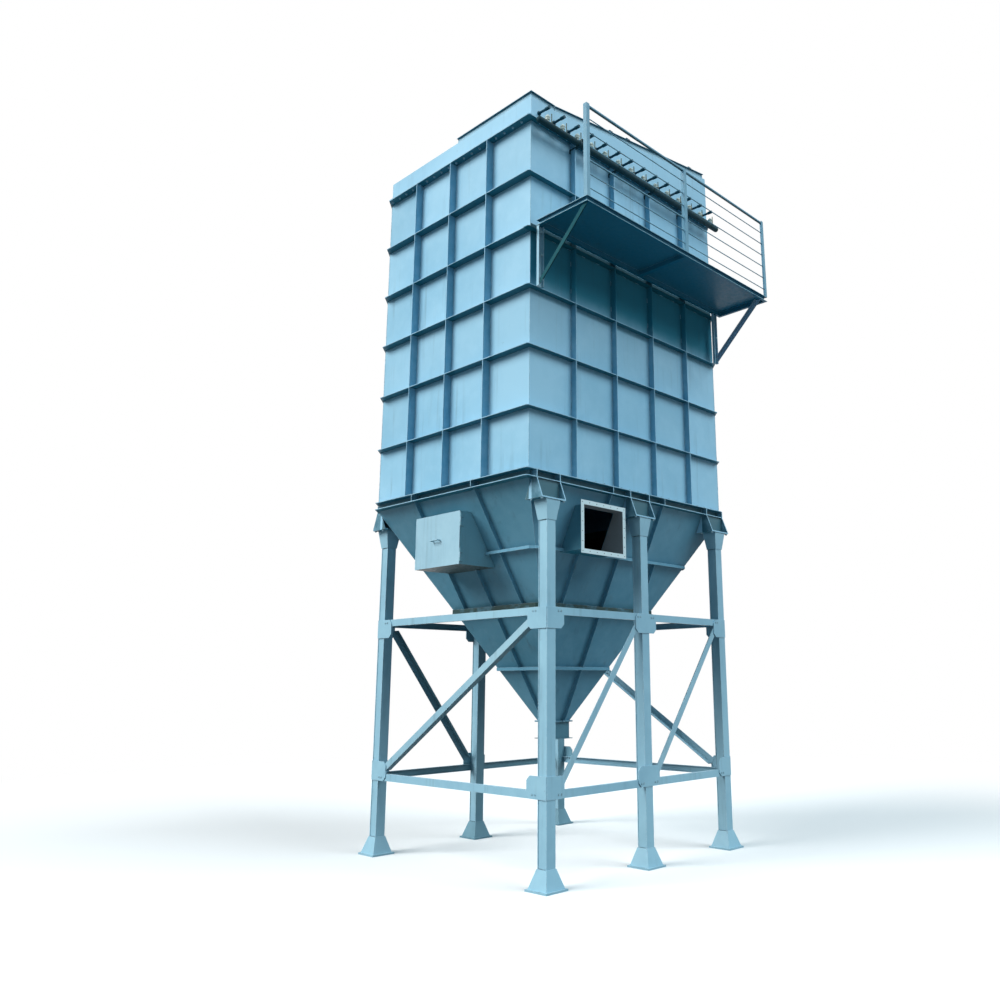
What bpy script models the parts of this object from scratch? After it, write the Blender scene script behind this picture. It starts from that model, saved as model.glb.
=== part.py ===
"""Pulse-jet baghouse dust collector on a braced frame of six legs.

Metres, +Z up. The front, with the inlet and the service platform, faces -Y and the
access door faces -X. Every size is measured from the middle of the casing, on the
ground; at the end the whole plant is shifted so that the world origin is the middle
of its footprint.
"""

import math

import bpy
import bmesh
from mathutils import Matrix, Vector

# Gap left between pieces that touch
SEAM = 0.0003
# How far a welded bar runs into the plate that it is joined to
WELD = 0.002
# Distance under which the corners of one outline are a single point
MERGE = 0.00001

# Casing: a box of stiffened plate, with rows and columns of panels
BODY_LENGTH = 3.50
BODY_DEPTH = 2.742
BODY_BASE = 4.146
WALL_PLATE = 0.005
FIRST_ROW = 0.681
ROW_HEIGHT = 0.693
LAST_ROW = 0.715
ROWS = 6
CORNER_COLUMN = 0.66
FRONT_COLUMNS = 5
END_COLUMNS = 4
STIFFENER_REACH = 0.08
END_STIFFENER_REACH = 0.105
STIFFENER_PLATE = 0.008
# How far along the wall the bars' cut corners pass the casing's corner
CORNER_SPARE = 0.025

# Clean-air plenum: a flat start at the left end, then a roof that climbs to the right
PLENUM_LEFT_HEIGHT = 0.317
PLENUM_RIGHT_HEIGHT = 0.79
PLENUM_FLAT = 0.39
PLENUM_PLATE = 0.004
LID_HEIGHT = 0.05
LID_PLATE = 0.004
LID_OVERHANG = 0.025
LID_PARTING = 0.06
LID_SETBACK = 0.06

# Clean-air outlet in the plenum's tall end
OUTLET_DUCT_WIDTH = 0.90
OUTLET_DUCT_HEIGHT = 0.50
OUTLET_DUCT_BOTTOM = 0.15
OUTLET_DUCT_LENGTH = 0.06
OUTLET_DUCT_PLATE = 0.004
OUTLET_DUCT_FLANGE = 0.04
OUTLET_DUCT_FLANGE_PLATE = 0.006

# Channel ring that the casing and the hopper hang from
RING_HEIGHT = 0.084
RING_WEB = 0.008

# Hopper: a pyramid shell with ribs and rings
HOPPER_PLATE = 0.005
HOPPER_BOTTOM = 1.495
OUTLET_SIZE = 0.27
HOPPER_RINGS = (3.41, 2.83, 2.13)
HOPPER_BAR_REACH = 0.06
HOPPER_RING_DROPS = (0.026, 0.06, 0.03)
HOPPER_CORNER_SPARE = 0.015
HOPPER_BAR_PLATE = 0.008
END_RIB_OFFSET = 0.545
FRONT_RIB_OFFSET = 0.48
SECOND_END_RIB_OFFSET = 0.51
SECOND_FRONT_RIB_OFFSET = 0.69

# Discharge spigot under the hopper
SPIGOT_LENGTH = 0.205
SPIGOT_PLATE = 0.005
SPIGOT_FLANGE = 0.03
SPIGOT_FLANGE_PLATE = 0.008

# Dusty-air inlet in the front of the hopper
INLET_CENTRE_X = -0.6225
INLET_CENTRE_Z = 3.635
INLET_WIDTH = 0.655
INLET_HEIGHT = 0.495
INLET_PLATE = 0.004
INLET_FLANGE = 0.046
INLET_FLANGE_PLATE = 0.006
INLET_FACE = 0.05

# Access box in the left end of the hopper, with a hinged door
ACCESS_CENTRE_Y = 0.125
ACCESS_WIDTH = 0.81
ACCESS_BOTTOM = 3.25
ACCESS_HEIGHT = 0.605
ACCESS_PLATE = 0.005
ACCESS_FACE = 0.02
ACCESS_RIM = 0.04
MANHOLE_WIDTH = 0.60
MANHOLE_HEIGHT = 0.36
DOOR_PLATE = 0.006
HINGE_RADIUS = 0.010
HINGE_PIN_RADIUS = 0.005
HINGE_PLAY = 0.0005
HINGE_LEAF = 0.004
HINGE_LEAF_REACH = 0.04
HINGE_KNUCKLE = 0.05
HINGE_KNUCKLES = 3
HINGE_SPREAD = 0.20
HANDLE_RADIUS = 0.008
HANDLE_LENGTH = 0.12
HANDLE_STAND = 0.045

# Legs: rolled H sections on flared feet, with flared heads
LEG_INSET = 0.22
LEG_OUTSET = 0.054
LEG_SECTION = 0.125
LEG_FLANGE = 0.009
LEG_WEB = 0.0065
FOOT_PLATE = 0.30
FOOT_THICKNESS = 0.02
BOOT_TOP = 0.20
BOOT_WIDTH = 0.26
BOOT_MARGIN = 0.006
HEAD_HEIGHT = 0.195
HEAD_LENGTH = 0.205
HEAD_DEPTH = 0.19
HEAD_PLATE = 0.02

# Corbels under the ring, one over each leg
CORBEL_HEIGHT = 0.222
CORBEL_LENGTH = 0.36
CORBEL_DEPTH = 0.25
CORBEL_PLATE = 0.016
CORBEL_GUSSET = 0.012
CORBEL_SETBACK = 0.02
CORBEL_CLEARANCE = 0.004

# Bracing
UPPER_BEAM = 2.68
LOWER_BEAM = 0.875
BEAM_HEIGHT = 0.08
BEAM_FLANGE = 0.043
BEAM_PLATE = 0.005
BEAM_END_GAP = 0.003
GUSSET_PLATE = 0.008
GUSSET_HEIGHT = 0.22
GUSSET_REACH = 0.12
END_GUSSET_REACH = 0.155
GUSSET_CHAMFER = 0.045
BRACE_WIDTH = 0.075
BRACE_PLATE = 0.006
BRACE_INSET = 0.095
END_BRACE_INSET = 0.125
BRACE_DROP = 0.138
BRACE_LIFT = 0.071

# Service platform
DECK_SHORT = 0.015
DECK_LONG = 0.10
DECK_DEPTH = 0.777
DECK_TOP = 7.015
DECK_PLATE = 0.005
DECK_EDGE = 0.065
DECK_EDGE_FLANGE = 0.036
DECK_ARM_X = 0.06
DECK_ARM_WIDTH = 0.06
WALL_POST_WIDTH = 0.08
WALL_POST_DEPTH = 0.036
WALL_POST_PLATE = 0.006
WALL_POST_INSET = 0.062
STRUT_WIDTH = 0.05
STRUT_PLATE = 0.005
STRUT_FOOT = 0.05

# Guard rail
RAIL_HEIGHT = 1.12
RAIL_POST = 0.05
RAIL_POST_PLATE = 0.005
RAIL_POST_MIDDLE = 0.03
RAIL_TUBE = 0.034
RAIL_ROD = 0.012
RAIL_KNEE = 0.020
RAIL_ROD_FIRST = 0.115
RAIL_ROD_LAST = 0.167
RAIL_RODS = 6
RAIL_KNEE_ROW = 2

# Compressed-air header with its row of pulse valves
HEADER_DIAMETER = 0.125
HEADER_OVERRUN = 0.04
HEADER_DROP = 0.047
HEADER_CLEARANCE = 0.004
HEADER_STRAP = 0.010
HEADER_STRAP_HEIGHT = 0.06
VALVES = 14
VALVE_PITCH = 0.25
BLOW_PIPE_HEIGHT = 0.152
BLOW_PIPE_DIAMETER = 0.042
BLOW_SOCKET_DIAMETER = 0.056
BLOW_SOCKET_LENGTH = 0.04
BLOW_PIPE_OVERRUN = 0.02
VALVE_RISER_DIAMETER = 0.048
VALVE_BODY_DIAMETER = 0.092
VALVE_BODY_LIFT = 0.028

# Roundness of drawn circles
PIPE_SIDES = 16
ROD_SIDES = 8

# Values worked out from the sizes above
HALF_LENGTH = BODY_LENGTH / 2
HALF_DEPTH = BODY_DEPTH / 2
CASING_FLOOR = BODY_BASE + STIFFENER_PLATE + SEAM
MIDDLE_ROWS = ROWS - 2
CASING_TOP = BODY_BASE + FIRST_ROW + MIDDLE_ROWS * ROW_HEIGHT + LAST_ROW
RING_BOTTOM = BODY_BASE - RING_HEIGHT
HOPPER_TOP = RING_BOTTOM - SEAM
CORBEL_SEAT = RING_BOTTOM - CORBEL_HEIGHT
STIFFENER_FACE = HALF_DEPTH + STIFFENER_REACH
END_STIFFENER_FACE = HALF_LENGTH + END_STIFFENER_REACH
PLENUM_FLOOR = CASING_TOP + STIFFENER_PLATE + SEAM
OUTLET_HALF = OUTLET_SIZE / 2
LEG_HALF = LEG_SECTION / 2
LEG_X = HALF_LENGTH - LEG_INSET
LEG_Y = HALF_DEPTH + LEG_OUTSET
LEG_TOP = CORBEL_SEAT - SEAM
DECK_LEFT = DECK_SHORT - HALF_LENGTH
DECK_RIGHT = HALF_LENGTH + DECK_LONG
DECK_BACK = -STIFFENER_FACE - SEAM
DECK_FRONT = DECK_BACK - DECK_DEPTH
DECK_UNDERSIDE = DECK_TOP - DECK_EDGE
WALL_POST_X = HALF_LENGTH - WALL_POST_INSET
RAIL_ROD_PITCH = (RAIL_HEIGHT - RAIL_ROD_FIRST - RAIL_ROD_LAST) / (RAIL_RODS - 1)
HEADER_LENGTH = BODY_LENGTH + 2 * HEADER_OVERRUN
HINGE_Y = ACCESS_CENTRE_Y - ACCESS_WIDTH / 2 - HINGE_RADIUS - HINGE_LEAF
HINGE_X = -(HALF_LENGTH + ACCESS_FACE) - DOOR_PLATE

PART_NAME = "baghouse_dust_collector"


def start_clean():
    """Empty the scene and make the collections for the part and its cutters."""
    for item in list(bpy.data.objects):
        bpy.data.objects.remove(item, do_unlink=True)
    for name in (PART_NAME, "cutters"):
        group = bpy.data.collections.new(name)
        bpy.context.scene.collection.children.link(group)
    return bpy.data.collections[PART_NAME], bpy.data.collections["cutters"]


def paint(name, colour, roughness, metallic=0.0):
    """Make a plain material with one colour."""
    material = bpy.data.materials.new(name)
    material.use_nodes = True
    shader = material.node_tree.nodes["Principled BSDF"]
    shader.inputs["Base Color"].default_value = (*colour, 1.0)
    shader.inputs["Roughness"].default_value = roughness
    shader.inputs["Metallic"].default_value = metallic
    return material


def draft(shape):
    """Turn a bmesh into a hidden working object."""
    mesh = bpy.data.meshes.new("draft")
    shape.to_mesh(mesh)
    shape.free()
    item = bpy.data.objects.new("draft", mesh)
    item.hide_render = True
    item.display_type = "WIRE"
    CUTTERS.objects.link(item)
    return item


def frustum(low_half, high_half, bottom, top):
    """Four-sided block that tapers between two half sizes, centred on the Z axis."""
    shape = bmesh.new()
    bmesh.ops.create_cube(shape, size=2.0)
    for corner in shape.verts:
        half = high_half if corner.co.z > 0 else low_half
        level = top if corner.co.z > 0 else bottom
        corner.co = Vector((corner.co.x * half[0], corner.co.y * half[1], level))
    return draft(shape)


def box(low, high):
    """Block between two opposite corners."""
    shape = bmesh.new()
    bmesh.ops.create_cube(shape, size=1.0)
    low = Vector(low)
    high = Vector(high)
    size = high - low
    bmesh.ops.scale(shape, vec=size, verts=shape.verts)
    bmesh.ops.translate(shape, vec=(low + high) / 2, verts=shape.verts)
    return draft(shape)


def rod(start, end, diameter, sides=PIPE_SIDES):
    """Round bar between two points."""
    start = Vector(start)
    end = Vector(end)
    run = end - start
    shape = bmesh.new()
    turn = run.to_track_quat("Z", "Y").to_matrix().to_4x4()
    place = Matrix.Translation((start + end) / 2) @ turn
    bmesh.ops.create_cone(shape, cap_ends=True, segments=sides, radius1=diameter / 2,
                          radius2=diameter / 2, depth=run.length, matrix=place)
    return draft(shape)


def baked(item):
    """Replace an object's mesh by its evaluated one, without modifiers."""
    view = bpy.context.evaluated_depsgraph_get()
    mesh = bpy.data.meshes.new_from_object(item.evaluated_get(view))
    item.modifiers.clear()
    item.data = mesh
    return item


# Directions that an outline's width, its height and its extrusion take
OUTLINE_AXES = {
    "x": ((0, 1, 0), (0, 0, 1), (1, 0, 0)),
    "y": ((1, 0, 0), (0, 0, 1), (0, 1, 0)),
    "z": ((1, 0, 0), (0, 1, 0), (0, 0, 1)),
}


def prism(outline, axis, start, end):
    """Flat outline extruded along an axis from one station to another."""
    curve = bpy.data.curves.new("outline", "CURVE")
    curve.dimensions = "2D"
    curve.fill_mode = "BOTH"
    curve.extrude = abs(end - start) / 2
    spline = curve.splines.new("POLY")
    spline.points.add(len(outline) - 1)
    for point, (across, up) in zip(spline.points, outline):
        point.co = (across, up, 0.0, 1.0)
    spline.use_cyclic_u = True
    guide = bpy.data.objects.new("outline", curve)
    CUTTERS.objects.link(guide)
    view = bpy.context.evaluated_depsgraph_get()
    flat = bpy.data.meshes.new_from_object(guide.evaluated_get(view))
    bpy.data.objects.remove(guide, do_unlink=True)
    shape = bmesh.new()
    shape.from_mesh(flat)
    bmesh.ops.remove_doubles(shape, verts=shape.verts, dist=MERGE)
    place = Matrix(OUTLINE_AXES[axis]).transposed().to_4x4()
    place.translation = Vector(OUTLINE_AXES[axis][2]) * (start + end) / 2
    bmesh.ops.transform(shape, matrix=place, verts=shape.verts)
    bmesh.ops.recalc_face_normals(shape, faces=shape.faces)
    return draft(shape)


def combine(base, others, operation):
    """Apply one exact Boolean between a draft and a group of drafts."""
    group = bpy.data.collections.new("operands")
    for other in others:
        group.objects.link(other)
    step = base.modifiers.new("combine", "BOOLEAN")
    step.operation = operation
    step.operand_type = "COLLECTION"
    step.collection = group
    step.solver = "EXACT"
    baked(base)
    for other in others:
        bpy.data.objects.remove(other, do_unlink=True)
    bpy.data.collections.remove(group)
    return base


def twin(item):
    """Copy of a draft, to be cut in its own way."""
    copy = bpy.data.objects.new("draft", item.data.copy())
    CUTTERS.objects.link(copy)
    return copy


def fuse(*solids):
    """Weld overlapping drafts into one closed body."""
    return combine(solids[0], solids[1:], "UNION")


def cut(base, *cutters):
    """Take cutters out of a draft."""
    return combine(base, cutters, "DIFFERENCE")


def loop(outer, inner, bottom, top):
    """Flat rectangular frame around the Z axis, from its outer and inner half sizes."""
    body = frustum(outer, outer, bottom, top)
    return cut(body, frustum(inner, inner, bottom - STIFFENER_PLATE, top + STIFFENER_PLATE))


def skirt(face, reach, spare, bottom, top):
    """Flat plate around the Z axis with its four corners cut off at 45 degrees.

    face holds the half sizes of the walls that it surrounds, reach how far it stands
    off each of them and spare how far its cut corners pass the walls' own corner.
    """
    outer = (face[0] + reach[0], face[1] + reach[1])
    inner = (face[0] + spare - reach[1], face[1] + spare - reach[0])
    outline = []
    for across, up in ((1, 1), (-1, 1), (-1, -1), (1, -1)):
        ends = [(across * inner[0], up * outer[1]), (across * outer[0], up * inner[1])]
        outline.extend(ends if across * up < 0 else reversed(ends))
    return prism(outline, "z", bottom, top)


def grown(half, amount):
    """Half sizes with the same amount added both ways."""
    return half[0] + amount, half[1] + amount


def piece(name, item, finish, location=(0, 0, 0), rotation=(0, 0, 0), parent=None):
    """Name a finished draft, paint it and place it in the part."""
    CUTTERS.objects.unlink(item)
    PART.objects.link(item)
    item.name = name
    item.data.name = name
    item.hide_render = False
    item.display_type = "TEXTURED"
    item.data.materials.clear()
    item.data.materials.append(finish)
    item.location = location
    item.rotation_euler = rotation
    item.parent = parent or GROUND
    return item


def level_of_row(row):
    """Underside of the horizontal stiffener below a row of panels."""
    if row == 0:
        return BODY_BASE
    if row == ROWS:
        return CASING_TOP
    return BODY_BASE + FIRST_ROW + (row - 1) * ROW_HEIGHT


def column_lines(length, columns):
    """Places of the vertical ribs along a wall, from its near corner."""
    share = (length - CORNER_COLUMN) / (columns - 1)
    return [CORNER_COLUMN + share * step for step in range(columns - 1)]


def hopper_half(level):
    """Half sizes of the hopper's outer face at a level."""
    share = (level - HOPPER_BOTTOM) / (HOPPER_TOP - HOPPER_BOTTOM)
    return (OUTLET_HALF + (HALF_LENGTH - OUTLET_HALF) * share,
            OUTLET_HALF + (HALF_DEPTH - OUTLET_HALF) * share)


def channel_outline(height, flange, plate, toes=1):
    """Channel section around the origin, its web's back on the v axis and toes to one side."""
    half = height / 2
    return [(0, -half), (toes * flange, -half), (toes * flange, plate - half),
            (toes * plate, plate - half), (toes * plate, half - plate),
            (toes * flange, half - plate), (toes * flange, half), (0, half)]


def bar_outline(half, corner, reach):
    """Plan of a wall's horizontal bar, its ends cut at 45 degrees past the casing's corners.

    half is half the wall plate's length, corner the place of the casing's corner along
    the wall and reach how far the bar stands off it.
    """
    tip = corner + CORNER_SPARE - reach
    if half == corner:
        end = [(tip, -reach), (corner + CORNER_SPARE + WALL_PLATE, WALL_PLATE),
               (half - WELD, WALL_PLATE), (half - WELD, WELD)]
    else:
        end = [(tip, -reach), (half, half - corner - CORNER_SPARE), (half, WELD)]
    return end + [(-across, up) for across, up in reversed(end)]


def stiffened_wall(span, corner, ribs, reach):
    """Wall in its own frame: outer face on y = 0, bars towards -Y, plate centred on X.

    span is the plate's length, corner the place of the casing's corner and ribs the
    places of its vertical bars, all along the wall from its middle.
    """
    top = CASING_TOP + STIFFENER_PLATE
    half = span / 2
    solids = [box((-half, 0, CASING_FLOOR), (half, WALL_PLATE, top))]
    for row in range(1, ROWS + 1):
        low = level_of_row(row)
        solids.append(prism(bar_outline(half, corner, reach), "z", low, low + STIFFENER_PLATE))
    for line in ribs:
        solids.append(box((line - STIFFENER_PLATE / 2, -reach, CASING_FLOOR),
                          (line + STIFFENER_PLATE / 2, WELD, CASING_TOP + WELD)))
    return fuse(*solids)


def build_walls():
    """Casing: two long walls, and two end walls between them."""
    long_ribs = [line - HALF_LENGTH for line in column_lines(BODY_LENGTH, FRONT_COLUMNS)]
    back_ribs = [-line for line in long_ribs]
    front = stiffened_wall(BODY_LENGTH, HALF_LENGTH, long_ribs, STIFFENER_REACH)
    piece("front_wall", front, PAINT, (0, -HALF_DEPTH, 0))
    back = stiffened_wall(BODY_LENGTH, HALF_LENGTH, back_ribs, STIFFENER_REACH)
    piece("back_wall", back, PAINT, (0, HALF_DEPTH, 0), (0, 0, math.pi))
    end_span = BODY_DEPTH - 2 * (WALL_PLATE + SEAM)
    end_ribs = [HALF_DEPTH - line for line in column_lines(BODY_DEPTH, END_COLUMNS)]
    left = stiffened_wall(end_span, HALF_DEPTH, end_ribs, END_STIFFENER_REACH)
    piece("left_wall", left, PAINT, (-HALF_LENGTH, 0, 0), (0, 0, -math.pi / 2))
    mirrored = [-line for line in end_ribs]
    right = stiffened_wall(end_span, HALF_DEPTH, mirrored, END_STIFFENER_REACH)
    piece("right_wall", right, PAINT, (HALF_LENGTH, 0, 0), (0, 0, math.pi / 2))


def roof_height(along, left, right):
    """Height of the plenum's roof at a place along X, between its two end heights."""
    bend = -HALF_LENGTH + PLENUM_FLAT
    if along <= bend:
        return left
    return left + (right - left) * (along - bend) / (HALF_LENGTH - bend)


def outlet_block(margin, start, end):
    """Block along the clean-air outlet's axis, its bore grown by a margin."""
    half = OUTLET_DUCT_WIDTH / 2 + margin
    top = OUTLET_DUCT_BOTTOM + OUTLET_DUCT_HEIGHT
    return box((start, -half, OUTLET_DUCT_BOTTOM - margin), (end, half, top + margin))


def build_plenum():
    """Clean-air plenum: a hood that is open below, on a bolted flange."""
    bend = -HALF_LENGTH + PLENUM_FLAT
    inner = HALF_LENGTH - PLENUM_PLATE
    outline = [(-HALF_LENGTH, 0), (HALF_LENGTH, 0), (HALF_LENGTH, PLENUM_RIGHT_HEIGHT),
               (bend, PLENUM_LEFT_HEIGHT), (-HALF_LENGTH, PLENUM_LEFT_HEIGHT)]
    roof_right = roof_height(inner, PLENUM_LEFT_HEIGHT, PLENUM_RIGHT_HEIGHT) - PLENUM_PLATE
    roof_left = PLENUM_LEFT_HEIGHT - PLENUM_PLATE
    hollow = [(-inner, -STIFFENER_REACH), (inner, -STIFFENER_REACH), (inner, roof_right),
              (bend, roof_left), (-inner, roof_left)]
    flange = skirt((HALF_LENGTH, HALF_DEPTH), (END_STIFFENER_REACH, STIFFENER_REACH),
                   CORNER_SPARE, 0, STIFFENER_PLATE)
    body = fuse(prism(outline, "y", -HALF_DEPTH, HALF_DEPTH), flange)
    cut(body, prism(hollow, "y", PLENUM_PLATE - HALF_DEPTH, HALF_DEPTH - PLENUM_PLATE),
        outlet_block(0, HALF_LENGTH - STIFFENER_REACH, BODY_LENGTH))
    piece("plenum", body, PAINT, (0, 0, PLENUM_FLOOR))


def build_clean_air_outlet():
    """Short flanged collar around the clean-air opening, on the plenum's end wall."""
    root = HALF_LENGTH + SEAM
    face = HALF_LENGTH + OUTLET_DUCT_LENGTH
    body = fuse(outlet_block(OUTLET_DUCT_PLATE, root, face),
                outlet_block(OUTLET_DUCT_PLATE + OUTLET_DUCT_FLANGE, face - OUTLET_DUCT_FLANGE_PLATE, face))
    cut(body, outlet_block(0, 0, BODY_LENGTH))
    piece("clean_air_outlet", body, PAINT, (0, 0, PLENUM_FLOOR))


def lid(length, width, left=0, front=0, back=0):
    """Curb with its low corner at the origin, under a plate that hangs over some sides."""
    under = LID_HEIGHT - LID_PLATE
    curb = cut(box((0, 0, 0), (length, width, under + WELD)),
               box((LID_PLATE, LID_PLATE, -LID_HEIGHT),
                   (length - LID_PLATE, width - LID_PLATE, LID_HEIGHT)))
    return fuse(curb, box((-left, -front, under), (length, width + back, LID_HEIGHT)))


def build_lids():
    """Roof lids: one on the flat start, in front, and two on the slope."""
    bend = -HALF_LENGTH + PLENUM_FLAT
    roof = PLENUM_FLOOR + PLENUM_LEFT_HEIGHT + SEAM
    run = HALF_LENGTH - bend
    climb = PLENUM_RIGHT_HEIGHT - PLENUM_LEFT_HEIGHT
    slope = math.atan2(climb, run)
    width = HALF_DEPTH - LID_PARTING / 2
    # The flat lid stops short of the bend by the shadow of the sloping one's rim
    flat_length = PLENUM_FLAT - LID_HEIGHT * math.tan(slope) - LID_PLATE
    flat = lid(flat_length, width, left=LID_OVERHANG, front=LID_OVERHANG)
    piece("roof_lid_flat", flat, PAINT, (-HALF_LENGTH, -HALF_DEPTH, roof))
    slope_length = math.hypot(run, climb) - LID_SETBACK
    turn = (0, -slope, 0)
    start = bend + SEAM
    front = lid(slope_length, width, front=LID_OVERHANG)
    piece("roof_lid_front", front, PAINT, (start, -HALF_DEPTH, roof), turn)
    back = lid(slope_length, width, back=LID_OVERHANG)
    piece("roof_lid_back", back, PAINT, (start, LID_PARTING / 2, roof), turn)


def corbel(centre_x, side):
    """Bracket under the ring at one leg: base plate, two gussets and a back plate."""
    half = CORBEL_LENGTH / 2
    floor = CORBEL_SEAT + CORBEL_PLATE
    outer = LEG_Y + CORBEL_DEPTH / 2 - CORBEL_SETBACK
    inner = outer - CORBEL_DEPTH
    crown = RING_BOTTOM + RING_HEIGHT

    def clear_of_hopper(level):
        return hopper_half(level)[1] + CORBEL_CLEARANCE

    foot = max(inner, clear_of_hopper(floor))
    outline = [(foot, floor - WELD), (outer, floor - WELD), (STIFFENER_FACE, RING_BOTTOM),
               (STIFFENER_FACE, crown), (HALF_DEPTH - WELD, crown),
               (HALF_DEPTH - WELD, RING_BOTTOM + WELD),
               (clear_of_hopper(HOPPER_TOP), RING_BOTTOM + WELD)]
    outline = [(side * across, up) for across, up in outline]
    low = min(side * inner, side * outer)
    high = max(side * inner, side * outer)
    solids = [box((centre_x - half, low, CORBEL_SEAT), (centre_x + half, high, floor))]
    for edge in (centre_x - half, centre_x + half - CORBEL_GUSSET):
        solids.append(prism(outline, "x", edge, edge + CORBEL_GUSSET))
    back = sorted((side * (LEG_Y - CORBEL_GUSSET / 2), side * (LEG_Y + CORBEL_GUSSET / 2)))
    solids.append(box((centre_x - half + WELD, back[0], floor - WELD),
                      (centre_x + half - WELD, back[1], RING_BOTTOM + WELD)))
    return solids


def build_ring():
    """Channel ring with stiffener plates over the hopper's ribs, and six corbels."""
    face = (HALF_LENGTH, HALF_DEPTH)
    reach = (END_STIFFENER_REACH, STIFFENER_REACH)
    inside = grown(face, -RING_WEB)
    top = RING_BOTTOM + RING_HEIGHT
    lower = RING_BOTTOM + STIFFENER_PLATE
    solids = [loop(face, inside, RING_BOTTOM, top + STIFFENER_PLATE)]
    for bottom in (RING_BOTTOM, top):
        flange = skirt(face, reach, CORNER_SPARE, bottom, bottom + STIFFENER_PLATE)
        solids.append(cut(flange, frustum(inside, inside, 0, CASING_TOP)))
    half = STIFFENER_PLATE / 2
    for line in (-END_RIB_OFFSET, END_RIB_OFFSET):
        for side in (-1, 1):
            low, high = sorted((side * (HALF_LENGTH - WELD), side * END_STIFFENER_FACE))
            solids.append(box((low, line - half, lower - WELD), (high, line + half, top + WELD)))
    for line in (-FRONT_RIB_OFFSET, FRONT_RIB_OFFSET):
        for side in (-1, 1):
            low, high = sorted((side * (HALF_DEPTH - WELD), side * STIFFENER_FACE))
            solids.append(box((line - half, low, lower - WELD), (line + half, high, top + WELD)))
    for centre_x in (-LEG_X, 0, LEG_X):
        for side in (-1, 1):
            solids.extend(corbel(centre_x, side))
    piece("base_ring", fuse(*solids), PAINT)


def hopper_ribs(along, offset, top, bottom):
    """Pair of ribs on opposite faces, at one offset from the middle, between two levels.

    along names the axis that the rib's face looks along.
    """
    index = 0 if along == "x" else 1
    high = hopper_half(top)[index]
    low = hopper_half(bottom)[index]
    outline = [(high - WELD, top), (high + HOPPER_BAR_REACH, top),
               (low + HOPPER_BAR_REACH, bottom), (low - WELD, bottom)]
    mirrored = [(-across, up) for across, up in outline]
    other = "y" if along == "x" else "x"
    start = offset - HOPPER_BAR_PLATE / 2
    return [prism(shape, other, start, start + HOPPER_BAR_PLATE) for shape in (outline, mirrored)]


def access_envelope(margin):
    """Block that the access box fills, grown by a margin."""
    half = ACCESS_WIDTH / 2 + margin
    return box((-HALF_LENGTH - ACCESS_FACE, ACCESS_CENTRE_Y - half, ACCESS_BOTTOM - margin),
               (-OUTLET_HALF, ACCESS_CENTRE_Y + half, ACCESS_BOTTOM + ACCESS_HEIGHT + margin))


def inlet_block(margin, front, back):
    """Block along the inlet duct's axis, its bore grown by a margin."""
    half = INLET_WIDTH / 2 + margin
    tall = INLET_HEIGHT / 2 + margin
    return box((INLET_CENTRE_X - half, front, INLET_CENTRE_Z - tall),
               (INLET_CENTRE_X + half, back, INLET_CENTRE_Z + tall))


def hopper_envelope(margin):
    """Solid pyramid of the hopper's outer face, grown by a margin."""
    return frustum(grown(hopper_half(HOPPER_BOTTOM), margin), grown(hopper_half(HOPPER_TOP), margin),
                   HOPPER_BOTTOM, HOPPER_TOP)


def hopper_ring(level, drop):
    """Angle around the hopper: a flat plate with its outer leg hanging down."""
    half = hopper_half(level)
    reach = (HOPPER_BAR_REACH, HOPPER_BAR_REACH)
    inner = HOPPER_BAR_REACH - HOPPER_BAR_PLATE
    # The leg is as thick across the cut corners as along the sides
    spare = HOPPER_CORNER_SPARE - math.sqrt(2) * HOPPER_BAR_PLATE
    return cut(skirt(half, reach, HOPPER_CORNER_SPARE, level - drop, level + HOPPER_BAR_PLATE),
               skirt(half, (inner, inner), spare, level - 2 * drop, level))


def hopper_quarters():
    """Names and blocks that part the hopper into its four plates along the pyramid's hips."""
    run = HALF_LENGTH - OUTLET_HALF
    rise = HALF_DEPTH - OUTLET_HALF
    far = 2 * BODY_LENGTH
    across = OUTLET_HALF - OUTLET_HALF * rise / run
    up = across + far * rise / run
    gap = SEAM / 2
    plates = []
    for name, side in (("front", -1), ("back", 1)):
        outline = [(0, side * (across + gap)), (far, side * (up + gap)), (far, side * 2 * far),
                   (-far, side * 2 * far), (-far, side * (up + gap))]
        plates.append((name, prism(outline, "z", 0, BODY_BASE)))
    for name, side in (("left", -1), ("right", 1)):
        outline = [(0, gap - across), (side * far, gap - up), (side * far, up - gap), (0, across - gap)]
        plates.append((name, prism(outline, "z", 0, BODY_BASE)))
    return plates


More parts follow.
